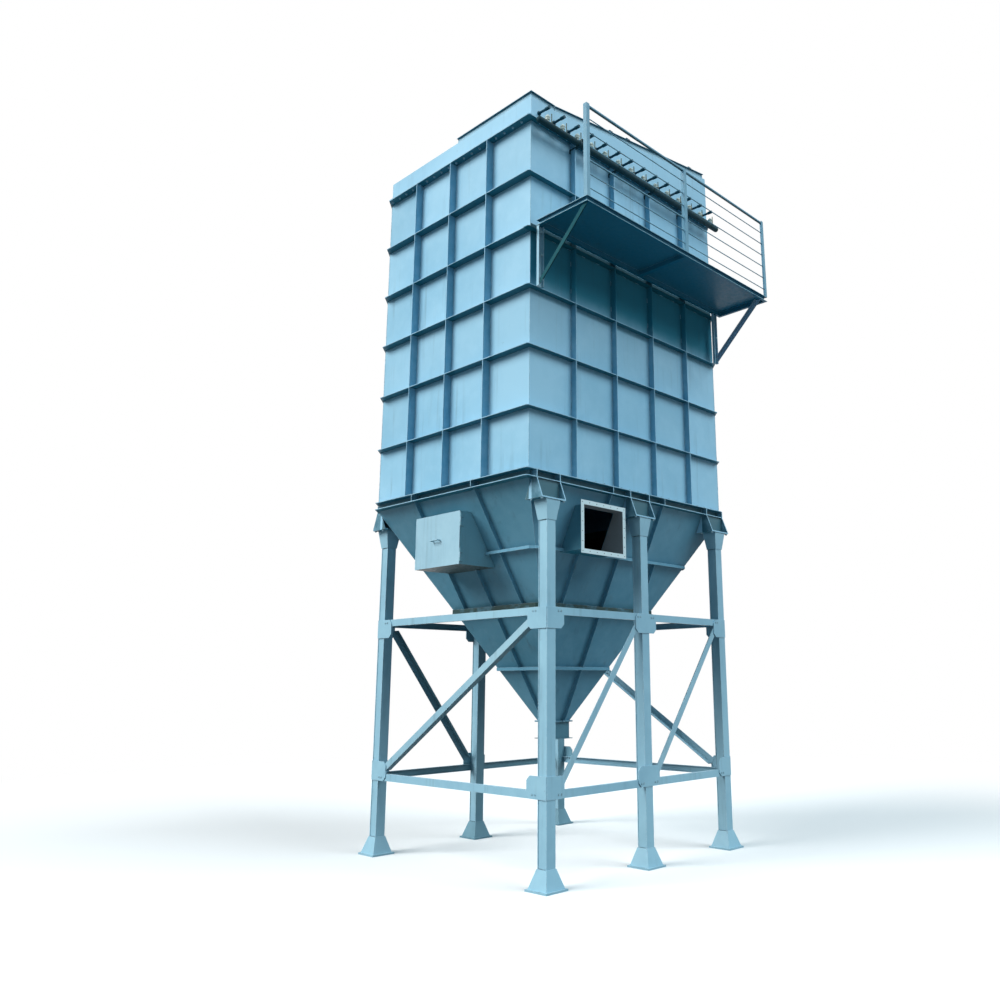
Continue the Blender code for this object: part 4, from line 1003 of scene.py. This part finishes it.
class FastenerTree(Tree):
    """Washer, hexagon head and stud end at every point of a guide, turned to its facing."""

    def __init__(self, material: Material) -> None:
        """Build the tree.

        Args:
            material: Finish of the fasteners.
        """
        super().__init__("fasteners", Shank=0.008, Stud=0.006)
        washer = self.drum(12, self.size("Shank", 1.9), self.size("Shank", 0.34))
        head = self.drum(6, self.size("Shank", 1.7), self.size("Shank", 1.3), self.size("Shank", 0.3))
        stud = self.drum(8, self.size("Shank"), self.size("Stud"), self.size("Shank", 1.5))
        joined = self.node("GeometryNodeJoinGeometry")
        for part in (washer, head, stud):
            self.tree.links.new(part, joined.inputs["Geometry"])
        inputs = {"Rotation": self.aim(), "Rotate By": self.spin(self.chance(0.0, math.pi / 3))}
        turned = self.node("FunctionNodeRotateRotation", inputs, rotation_space="LOCAL")
        self.scatter(joined.outputs["Geometry"], material, turned.outputs["Rotation"])


class HoleShadeTree(Tree):
    """Dark disc at every point of a guide, turned to its facing, that stands for the shade inside a bolt
    hole.
    """

    def __init__(self, material: Material) -> None:
        """Build the tree.

        Args:
            material: Finish of the dark discs.
        """
        super().__init__("bolt_holes", Radius=0.008, Depth=0.0006)
        self.scatter(self.drum(14, self.size("Radius"), self.size("Depth")), material, self.aim())


class WeldTree(Tree):
    """Rippled weld bead along every edge of a guide."""

    def __init__(self, material: Material) -> None:
        """Build the tree.

        Args:
            material: Finish of the bead.
        """
        super().__init__("weld_bead", Throat=0.004, Ripple=0.014)
        line = self.node("GeometryNodeMeshToCurve", {"Mesh": self.size("Geometry")})
        fine = self.node("GeometryNodeResampleCurve", {"Curve": line.outputs["Curve"],
                                                       "Length": self.size("Ripple")}, mode="LENGTH")
        ring = self.node("GeometryNodeCurvePrimitiveCircle", {"Resolution": 6, "Radius": self.size("Throat")})
        bead = self.node("GeometryNodeCurveToMesh", {
            "Curve": fine.outputs["Curve"], "Fill Caps": True, "Profile Curve": ring.outputs["Curve"],
            "Scale": self.chance(0.75, 1.2)})
        self.close(bead.outputs["Mesh"], material)


class TreadTree(Tree):
    """Raised lozenges of a chequer plate, turned one way and the other by turns."""

    def __init__(self, material: Material) -> None:
        """Build the tree.

        Args:
            material: Finish of the lozenges.
        """
        super().__init__("chequer_plate", Pitch=0.03, Length=0.012, Rise=0.0016)
        lozenge = self.node("GeometryNodeMeshCone", {"Vertices": 4, "Radius Top": 0.55, "Radius Bottom": 1.0,
                                                     "Depth": 1.0})
        shaped = self.node("GeometryNodeTransform", {
            "Geometry": lozenge.outputs["Mesh"],
            "Scale": self.vector(self.size("Length"), self.size("Length", 0.36), self.size("Rise"))})
        place = self.node("GeometryNodeInputPosition").outputs["Position"]
        column, row = (self.calc("ROUND", self.calc("DIVIDE", self.axis(place, name), self.size("Pitch")))
                       for name in ("X", "Y"))
        parity = self.calc("FLOORED_MODULO", self.calc("ADD", column, row), 2.0)
        angle = self.calc("MULTIPLY_ADD", parity, math.pi / 2, math.pi / 4)
        self.scatter(shaped.outputs["Geometry"], material, self.spin(angle))


class RowTree(Tree):
    """One sculpted part at every point of a guide."""

    def __init__(self, part: bpy.types.Object, material: Material) -> None:
        """Build the tree.

        Args:
            part: The part, around the origin.
            material: Its finish.
        """
        super().__init__("row_of_" + part.name)
        self.scatter(self.node("GeometryNodeObjectInfo", {"Object": part}).outputs["Geometry"], material)


def spaced(start: float, end: float, pitch: float) -> list[float]:
    """Even places between two ends, about a pitch apart."""
    count = max(1, round((end - start) / pitch))
    return [start + (end - start) * step / count for step in range(count + 1)]


@dataclass
class CornerPlates:
    """Plates that carry the casing's bars round its near corner."""

    material: Material
    spare: float = 0.025
    nose: float = 0.02
    inset: float = 0.0003
    flange_lift: float = 0.0083
    ring_foot: float = 4.062

    def outline(self) -> Pairs:
        """Trace the plate from the cut end of one bar to that of the other.

        Returns:
            Its corners in the frame, in order.
        """
        far_x = CASING.half_length + CASING.end_reach
        far_y = CASING.half_depth + CASING.reach
        line = CASING.half_length + CASING.half_depth + self.spare + self.inset
        corners = ((far_x, line - far_x), (far_x, far_y - self.nose), (far_x - self.nose, far_y),
                   (line - far_y, far_y))
        return [(MIDDLE.x - x, MIDDLE.y - y) for x, y in corners]

    def build(self) -> None:
        """Make the plates of every bar, of the plenum's flange and of the base ring's two flanges."""
        sculpt = Sculpt()
        for level in (*CASING.rows, CASING.top + self.flange_lift, CASING.base, self.ring_foot):
            sculpt.prism(self.outline(), level, level + CASING.plate)
        show("corner_plates", sculpt.mesh("corner_plates"), self.material)


@dataclass
class LegCovers:
    """Plates that close the open sides of the legs between their flanges."""

    material: Material
    half: float = 0.0625
    inset: float = 0.006
    thickness: float = 0.005
    width: float = 0.106
    low: float = 0.205
    high: float = 3.62

    def build(self) -> None:
        """Make the two plates of every leg."""
        sculpt = Sculpt()
        for leg in LEGS:
            for line in (-LEG_LINE, LEG_LINE):
                for side in SIDES:
                    outer = leg + side * (self.half - self.inset)
                    sculpt.block(spot(outer, line - self.width / 2, self.low),
                                 spot(outer - side * self.thickness, line + self.width / 2, self.high))
        show("leg_covers", sculpt.mesh("leg_covers"), self.material)


@dataclass
class Fastening:
    """Fasteners gathered place by place, then made as one piece."""

    material: Material
    shank: float
    stud: float
    places: list[Vector] = field(default_factory=list)
    facings: list[Vector] = field(default_factory=list)

    def add(self, x: float, y: float, z: float, facing: Vector) -> None:
        """Add a fastener at a place measured from the casing's middle."""
        self.places.append(spot(x, y, z))
        self.facings.append(facing)

    def build(self, name: str, slot: Slot) -> None:
        """Make the piece."""
        guide = guide_mesh(self.places, facings=self.facings)
        show(name, FastenerTree(self.material).grow(name, guide, Shank=self.shank, Stud=self.stud))


@dataclass
class Bolting:
    """Bolts of the flanges, beams and posts, and dark discs for the shade in the bolt holes of the open
    flanges.
    """

    steel: Material
    dark: Material
    pitch: float = 0.15
    row_ends: tuple[float, float] = (1.65, 1.27)
    rib_gap: float = 0.035
    shank: float = 0.008
    hole: float = 0.0055
    beam_levels: tuple[float, ...] = (0.875, 2.68)
    beam_face: float = 1.485
    beam_shifts: tuple[float, ...] = (-0.14, -0.10, 0.10, 0.14)
    last_beam_bolt: float = 1.46
    end_face: float = 1.59
    end_bolts: tuple[float, ...] = (-1.33, -1.29, 1.29, 1.33)
    corbel_level: float = 3.84
    corbel_shifts: tuple[float, ...] = (-0.160, 0.160)
    corbel_depths: tuple[float, ...] = (-0.085, 0.075)
    post_levels: tuple[float, ...] = (6.30, 6.585, 6.87)
    post: tuple[float, float] = (1.688, -1.487)

    def ring(self, bolts: Fastening, level: float, insets: tuple[float, float], facing: Vector) -> None:
        """Add fasteners around the casing at one level, clear of the ribs.

        Args:
            bolts: Fastening that takes them.
            level: Height of the plate that they sit on.
            insets: Distances of the end and the long rows from the casing.
            facing: Up for heads, down for nuts.
        """
        end_x, end_y = self.row_ends
        for side in SIDES:
            for x in spaced(-end_x, end_x, self.pitch):
                if min(abs(x - rib) for rib in CASING.long_ribs) > self.rib_gap:
                    bolts.add(x, side * (CASING.half_depth + insets[1]), level, facing)
            for y in spaced(-end_y, end_y, self.pitch):
                if min(abs(y - rib) for rib in CASING.end_ribs) > self.rib_gap:
                    bolts.add(side * (CASING.half_length + insets[0]), y, level, facing)

    def frame_bolts(self, bolts: Fastening) -> None:
        """Add the bolts of beams, braces, corbels and wall posts.

        Args:
            bolts: Fastening that takes them.
        """
        for side in SIDES:
            for level in self.beam_levels:
                for leg in LEGS:
                    for shift in self.beam_shifts:
                        if abs(leg + shift) < self.last_beam_bolt:
                            bolts.add(leg + shift, side * self.beam_face, level, Vector((0.0, side, 0.0)))
            for leg in LEGS:
                for shift in self.corbel_shifts:
                    for depth in self.corbel_depths:
                        bolts.add(leg + shift, side * LEG_LINE + depth, self.corbel_level, DOWN)
        for end in SIDES:
            for level in self.beam_levels:
                for y in self.end_bolts:
                    bolts.add(end * self.end_face, y, level, end * ALONG)
            for level in self.post_levels:
                bolts.add(end * self.post[0], self.post[1], level, Vector((0.0, -1.0, 0.0)))

    def rim(self, centre: tuple[float, float], half: tuple[float, float], pitch: float) -> Pairs:
        """Space places around a rectangle.

        Args:
            centre: Its middle.
            half: Its half sizes.
            pitch: Distance between neighbours.

        Returns:
            Pairs of coordinates.
        """
        places = []
        for side in SIDES:
            places += [(centre[0] + x, centre[1] + side * half[1]) for x in spaced(-half[0], half[0], pitch)]
            inner = spaced(-half[1], half[1], pitch)[1:-1]
            places += [(centre[0] + side * half[0], centre[1] + y) for y in inner]
        return places

    def holes(self) -> None:
        """Make dark discs for the shade in the bolt holes of the inlet, discharge and clean-air flanges."""
        found = [(spot(x, -1.421, z), Vector((0.0, -1.0, 0.0)))
                 for x, z in self.rim((-0.6225, 3.635), (0.353, 0.273), 0.12)]
        found += [(spot(x, y, 1.290), DOWN) for x, y in self.rim((0.0, 0.0), (0.147, 0.147), 0.10)]
        found += [(spot(1.81, y, z), ALONG) for y, z in self.rim((0.0, 8.7223), (0.472, 0.272), 0.12)]
        places, facings = zip(*found)
        mesh = HoleShadeTree(self.dark).grow("flange_holes", guide_mesh(places, facings=facings), Radius=self.hole)
        show("flange_holes", mesh)

    def build(self) -> None:
        """Make the bolts and the dark discs of the holes."""
        bolts = Fastening(self.steel, self.shank, self.shank * 0.7)
        self.ring(bolts, CASING.top + 0.0163, (0.055, 0.045), UP)
        self.ring(bolts, CASING.top, (0.055, 0.045), DOWN)
        self.ring(bolts, CASING.base + CASING.plate, (0.060, 0.045), UP)
        self.frame_bolts(bolts)
        bolts.build("plant_bolts", Slot.FRAME)
        self.holes()


@dataclass
class Welding:
    """Stitch welds of bars and ribs, and long beads on corners and hopper hips."""

    material: Material
    stitch: float = 0.06
    stitch_pitch: float = 0.25
    lift: float = 0.0015
    rib_half: float = 0.004
    sunk: float = 0.001
    hip_foot: Point = (0.136, 0.136, 1.505)
    hip_head: Point = (1.744, 1.366, 4.052)
    beads: list[tuple[Vector, Vector]] = field(default_factory=list)

    def stitches(self, start: Vector, end: Vector) -> None:
        """Add short beads along a line.

        Args:
            start: Start of the line.
            end: End of the line.
        """
        run = end - start
        count = max(1, int(run.length / self.stitch_pitch))
        half = run.normalized() * self.stitch / 2
        for step in range(count):
            middle = start + run * ((step + 0.5) / count)
            self.beads.append((middle - half, middle + half))

    def bars(self) -> None:
        """Add stitches above and below every bar, and on both sides of every rib."""
        half_x, half_y = CASING.half_length, CASING.half_depth
        out_x, out_y = half_x + self.lift, half_y + self.lift
        levels = [CASING.base + CASING.plate, *CASING.rows]
        for row, bottom in enumerate(levels):
            heights = [bottom] if row == 0 else [bottom - self.lift, bottom + CASING.plate + self.lift]
            for level in heights[:1] if row == len(levels) - 1 else heights:
                for side in SIDES:
                    self.stitches(spot(-half_x, side * out_y, level), spot(half_x, side * out_y, level))
                    self.stitches(spot(side * out_x, -half_y, level), spot(side * out_x, half_y, level))
        for low, high in zip(levels, levels[1:]):
            foot = low + CASING.plate
            for side in SIDES:
                for shift in (-self.rib_half - self.lift, self.rib_half + self.lift):
                    lines = [(rib + shift, side * out_y) for rib in CASING.long_ribs]
                    lines += [(side * out_x, rib + shift) for rib in CASING.end_ribs]
                    for line in lines:
                        self.stitches(spot(*line, foot), spot(*line, high))

    def seams(self) -> None:
        """Add long beads on the casing's corners and the hopper's hips."""
        levels = [CASING.base, *CASING.rows]
        for across in SIDES:
            for along in SIDES:
                corner = (across * (CASING.half_length - self.sunk), along * (CASING.half_depth - self.sunk))
                for low, high in zip(levels, levels[1:]):
                    self.beads.append((spot(*corner, low + CASING.plate), spot(*corner, high)))
                hip = (self.hip_foot, self.hip_head)
                self.beads.append(tuple(spot(across * x, along * y, z) for x, y, z in hip))

    def build(self) -> None:
        """Make the beads."""
        self.bars()
        self.seams()
        points = [point for bead in self.beads for point in bead]
        guide = guide_mesh(points, [(2 * step, 2 * step + 1) for step in range(len(self.beads))])
        show("weld_beads", WeldTree(self.material).grow("weld_beads", guide))


@dataclass
class PulseHeader:
    """Compressed-air header with its straps, pulse valves, blow stubs and sensing tubes."""

    pipe: Material
    stub: Material
    cream: Material
    wire: Material
    line: float = -1.5175
    level: float = 8.253
    radius: float = 0.038
    half_length: float = 1.79
    wall: float = -1.371
    valves: int = 14
    valve_pitch: float = 0.25
    stub_level: float = 8.466
    stub_end: float = -1.5475
    stub_radius: float = 0.015
    nut_radius: float = 0.021
    nut_span: tuple[float, float] = (0.060, -0.002)
    root_radius: float = 0.027
    root_length: float = 0.010
    strap_half: float = 0.02
    strap_thickness: float = 0.006
    strap_top: float = 0.022
    strap_drops: tuple[float, float] = (0.03, 0.075)
    elbow_radius: float = 0.010
    tube_radius: float = 0.006
    ferrule_radius: float = 0.011
    # Rounding of the pipe's ends: pairs of distance from the end and share of the radius
    dome: Pairs = ((0.0, 0.25), (0.006, 0.62), (0.016, 0.88), (0.030, 1.0))
    # Turned outline of a valve body: pairs of height and radius
    valve: Pairs = ((-0.004, 0.016), (0.018, 0.016), (0.020, 0.026), (0.044, 0.028), (0.050, 0.033),
                    (0.058, 0.033), (0.064, 0.026), (0.076, 0.020), (0.082, 0.010))
    smooth: float = 35.0

    def row(self, name: str, sculpt: Sculpt, height: float, material: Material) -> None:
        """Repeat a sculpted part at every valve.

        Args:
            name: Name of the piece.
            sculpt: The part, around a point on the header's line.
            height: Level of that point.
            material: Its finish.
        """
        part = bpy.data.objects.new(name + "_part", sculpt.mesh(name + "_part"))
        places = [(step - (self.valves - 1) / 2) * self.valve_pitch for step in range(self.valves)]
        mesh = RowTree(part, material).grow(name, guide_mesh([spot(x, self.line, height) for x in places]))
        bpy.data.objects.remove(part, do_unlink=True)
        show(name, mesh, smooth=self.smooth)

    def header(self) -> None:
        """Make the pipe with its straps."""
        sculpt = Sculpt()
        length = 2 * self.half_length
        profile = [(along, self.radius * share) for along, share in self.dome]
        profile += [(length - along, self.radius * share) for along, share in reversed(self.dome)]
        sculpt.turned(spot(-self.half_length, self.line, self.level), ALONG, profile, 24)
        for rib in CASING.long_ribs:
            low, high = rib - self.strap_half, rib + self.strap_half
            sculpt.band(spot(rib, self.line, self.level), ALONG, self.radius,
                        self.radius + self.strap_thickness, 2 * self.strap_half)
            nears = (self.line + self.radius, self.wall - self.strap_thickness)
            for near, drop in zip(nears, self.strap_drops):
                sculpt.block(spot(low, near, self.level - drop),
                             spot(high, self.wall, self.level - self.strap_top))
        pipe = show("header_pipe", sculpt.mesh("header_pipe"), self.pipe, self.smooth)
        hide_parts("air_header")

    def build(self) -> None:
        """Make the header, and the rows of stubs, valves and tubes."""
        self.header()
        top = self.level + self.radius
        reach = self.wall - self.line
        drop = self.stub_end - self.line
        stubs = Sculpt()
        for start, end, radius, sides in (
                (reach, drop, self.stub_radius, 12),
                (drop + self.nut_span[0], drop + self.nut_span[1], self.nut_radius, 12),
                (reach, reach - self.root_length, self.root_radius, 14)):
            stubs.rod(Vector((0.0, start, 0.0)), Vector((0.0, end, 0.0)), radius, sides)
        self.row("blow_stubs", stubs, self.stub_level, self.stub)
        bodies = Sculpt().turned(Vector(), UP, self.valve, 16)
        bodies.rod(Vector((0.0, 0.0, 0.034)), Vector((0.0, reach * 0.6, 0.072)), self.elbow_radius, 10)
        self.row("pulse_valves", bodies, top, self.cream)
        tubes = Sculpt().rod(Vector((0.078, 0.010, -0.006)), Vector((0.084, 0.018, 0.150)),
                             self.tube_radius, 8)
        tubes.rod(Vector((0.078, 0.010, -0.004)), Vector((0.078, 0.010, 0.016)), self.ferrule_radius, 8)
        self.row("sensing_tubes", tubes, top, self.wire)


@dataclass
class RoofFittings:
    """Lid clamps, lifting handles and small fittings on the eave."""

    dark: Material
    steel: Material
    slope_start: float = -1.36
    slope_level: float = 8.6393
    slope: float = 0.152
    lid: float = 0.0503
    clamps: tuple[float, ...] = (-0.35, -0.01, 1.36)
    clamp_lines: tuple[float, ...] = (-1.394, -1.372, -1.340)
    clamp_chamfer: float = 0.004
    handles: tuple[float, ...] = (-0.95, 0.55)
    handle_line: float = 0.713
    handle_rise: float = 0.028
    handle_radius: float = 0.006
    embedded: float = 0.004
    flat_handle: Point = (-1.573, -0.713, 8.690)
    bolt_lines: tuple[float, ...] = (-1.36, -0.07, 0.07, 1.36)

    def top(self, x: float) -> float:
        """Level of the sloped lids' top at a place along the casing."""
        return self.slope_level + self.slope * (x - self.slope_start) + self.lid

    def handle(self, sculpt: Sculpt, x: float, y: float, level: float) -> None:
        """Add one bent lifting handle.

        Args:
            sculpt: Sculpt that takes it.
            x: Place along the casing.
            y: Place across it.
            level: Level of the lid's top there.
        """
        top = level + self.handle_rise
        for side in (-0.09, 0.09):
            sculpt.rod(spot(x, y + side, level - self.embedded), spot(x, y + side, top),
                       self.handle_radius, 10)
        sculpt.rod(spot(x, y - 0.096, top), spot(x, y + 0.096, top), 0.0062, 10)

    def build(self) -> None:
        """Make the fittings, the handles and the bolts along the lids."""
        sculpt = Sculpt()
        for x in self.clamps:
            level = self.top(x)
            near, line, far = self.clamp_lines
            sculpt.block(spot(x - 0.035, near, level - self.embedded), spot(x + 0.035, far, level + 0.020),
                         self.clamp_chamfer)
            sculpt.rod(spot(x - 0.022, line, level + 0.020), spot(x + 0.030, line, level + 0.024), 0.009, 10)
        for side in SIDES:
            for x in self.handles:
                self.handle(sculpt, x, side * self.handle_line, self.top(x))
        self.handle(sculpt, *self.flat_handle)
        show("roof_fittings", sculpt.mesh("roof_fittings"), self.dark, 35.0)
        bolts = Fastening(self.steel, 0.006, 0.003)
        for x in spaced(-1.28, 1.22, 0.31):
            for y in self.bolt_lines:
                bolts.add(x, y, self.top(x) - 0.0005, Vector((-self.slope, 0.0, 1.0)).normalized())
        bolts.build("lid_bolts", Slot.CASING)


@dataclass
class DeckTread:
    """Chequer pattern on the platform."""

    material: Material
    pitch: float = 0.03
    margin: float = 0.03
    sunk: float = 0.0002

    def places(self, low: float, high: float) -> list[float]:
        """Find the whole pitches between two edges, inside the margin.

        Args:
            low: One edge.
            high: The other edge.

        Returns:
            Their places in the frame.
        """
        ends = (low + self.margin) / self.pitch, (high - self.margin) / self.pitch
        numbers = range(math.ceil(ends[0]), math.floor(ends[1]) + 1)
        return [number * self.pitch for number in numbers]

    def build(self) -> None:
        """Make the lozenges on the deck's top."""
        low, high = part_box("platform_deck")
        points = [Vector((x, y, high.z - self.sunk))
                  for x in self.places(low.x, high.x) for y in self.places(low.y, high.y)]
        mesh = TreadTree(self.material).grow("deck_tread", guide_mesh(points), Pitch=self.pitch)
        show("deck_tread", mesh)


def main() -> None:
    """Build the scene in order and report each piece."""
    logging.basicConfig(level=logging.INFO, format="%(name)s: %(message)s")
    PhotoCamera().build()
    Studio().build()
    dresser = Dresser()
    dresser.build()
    finish = dresser.table
    CornerPlates(finish["casing_skin"]).build()
    LegCovers(finish["leg_skin"]).build()
    Bolting(finish["zinc_steel"], finish["dark_bore"]).build()
    Welding(finish["bead_skin"]).build()
    PulseHeader(finish["header_skin"], finish["dark_tube"], finish["cream_enamel"],
                finish["olive_tube"]).build()
    RoofFittings(finish["dark_tube"], finish["zinc_steel"]).build()
    DeckTread(finish["deck_skin"]).build()


if __name__ == "__main__":
    main()
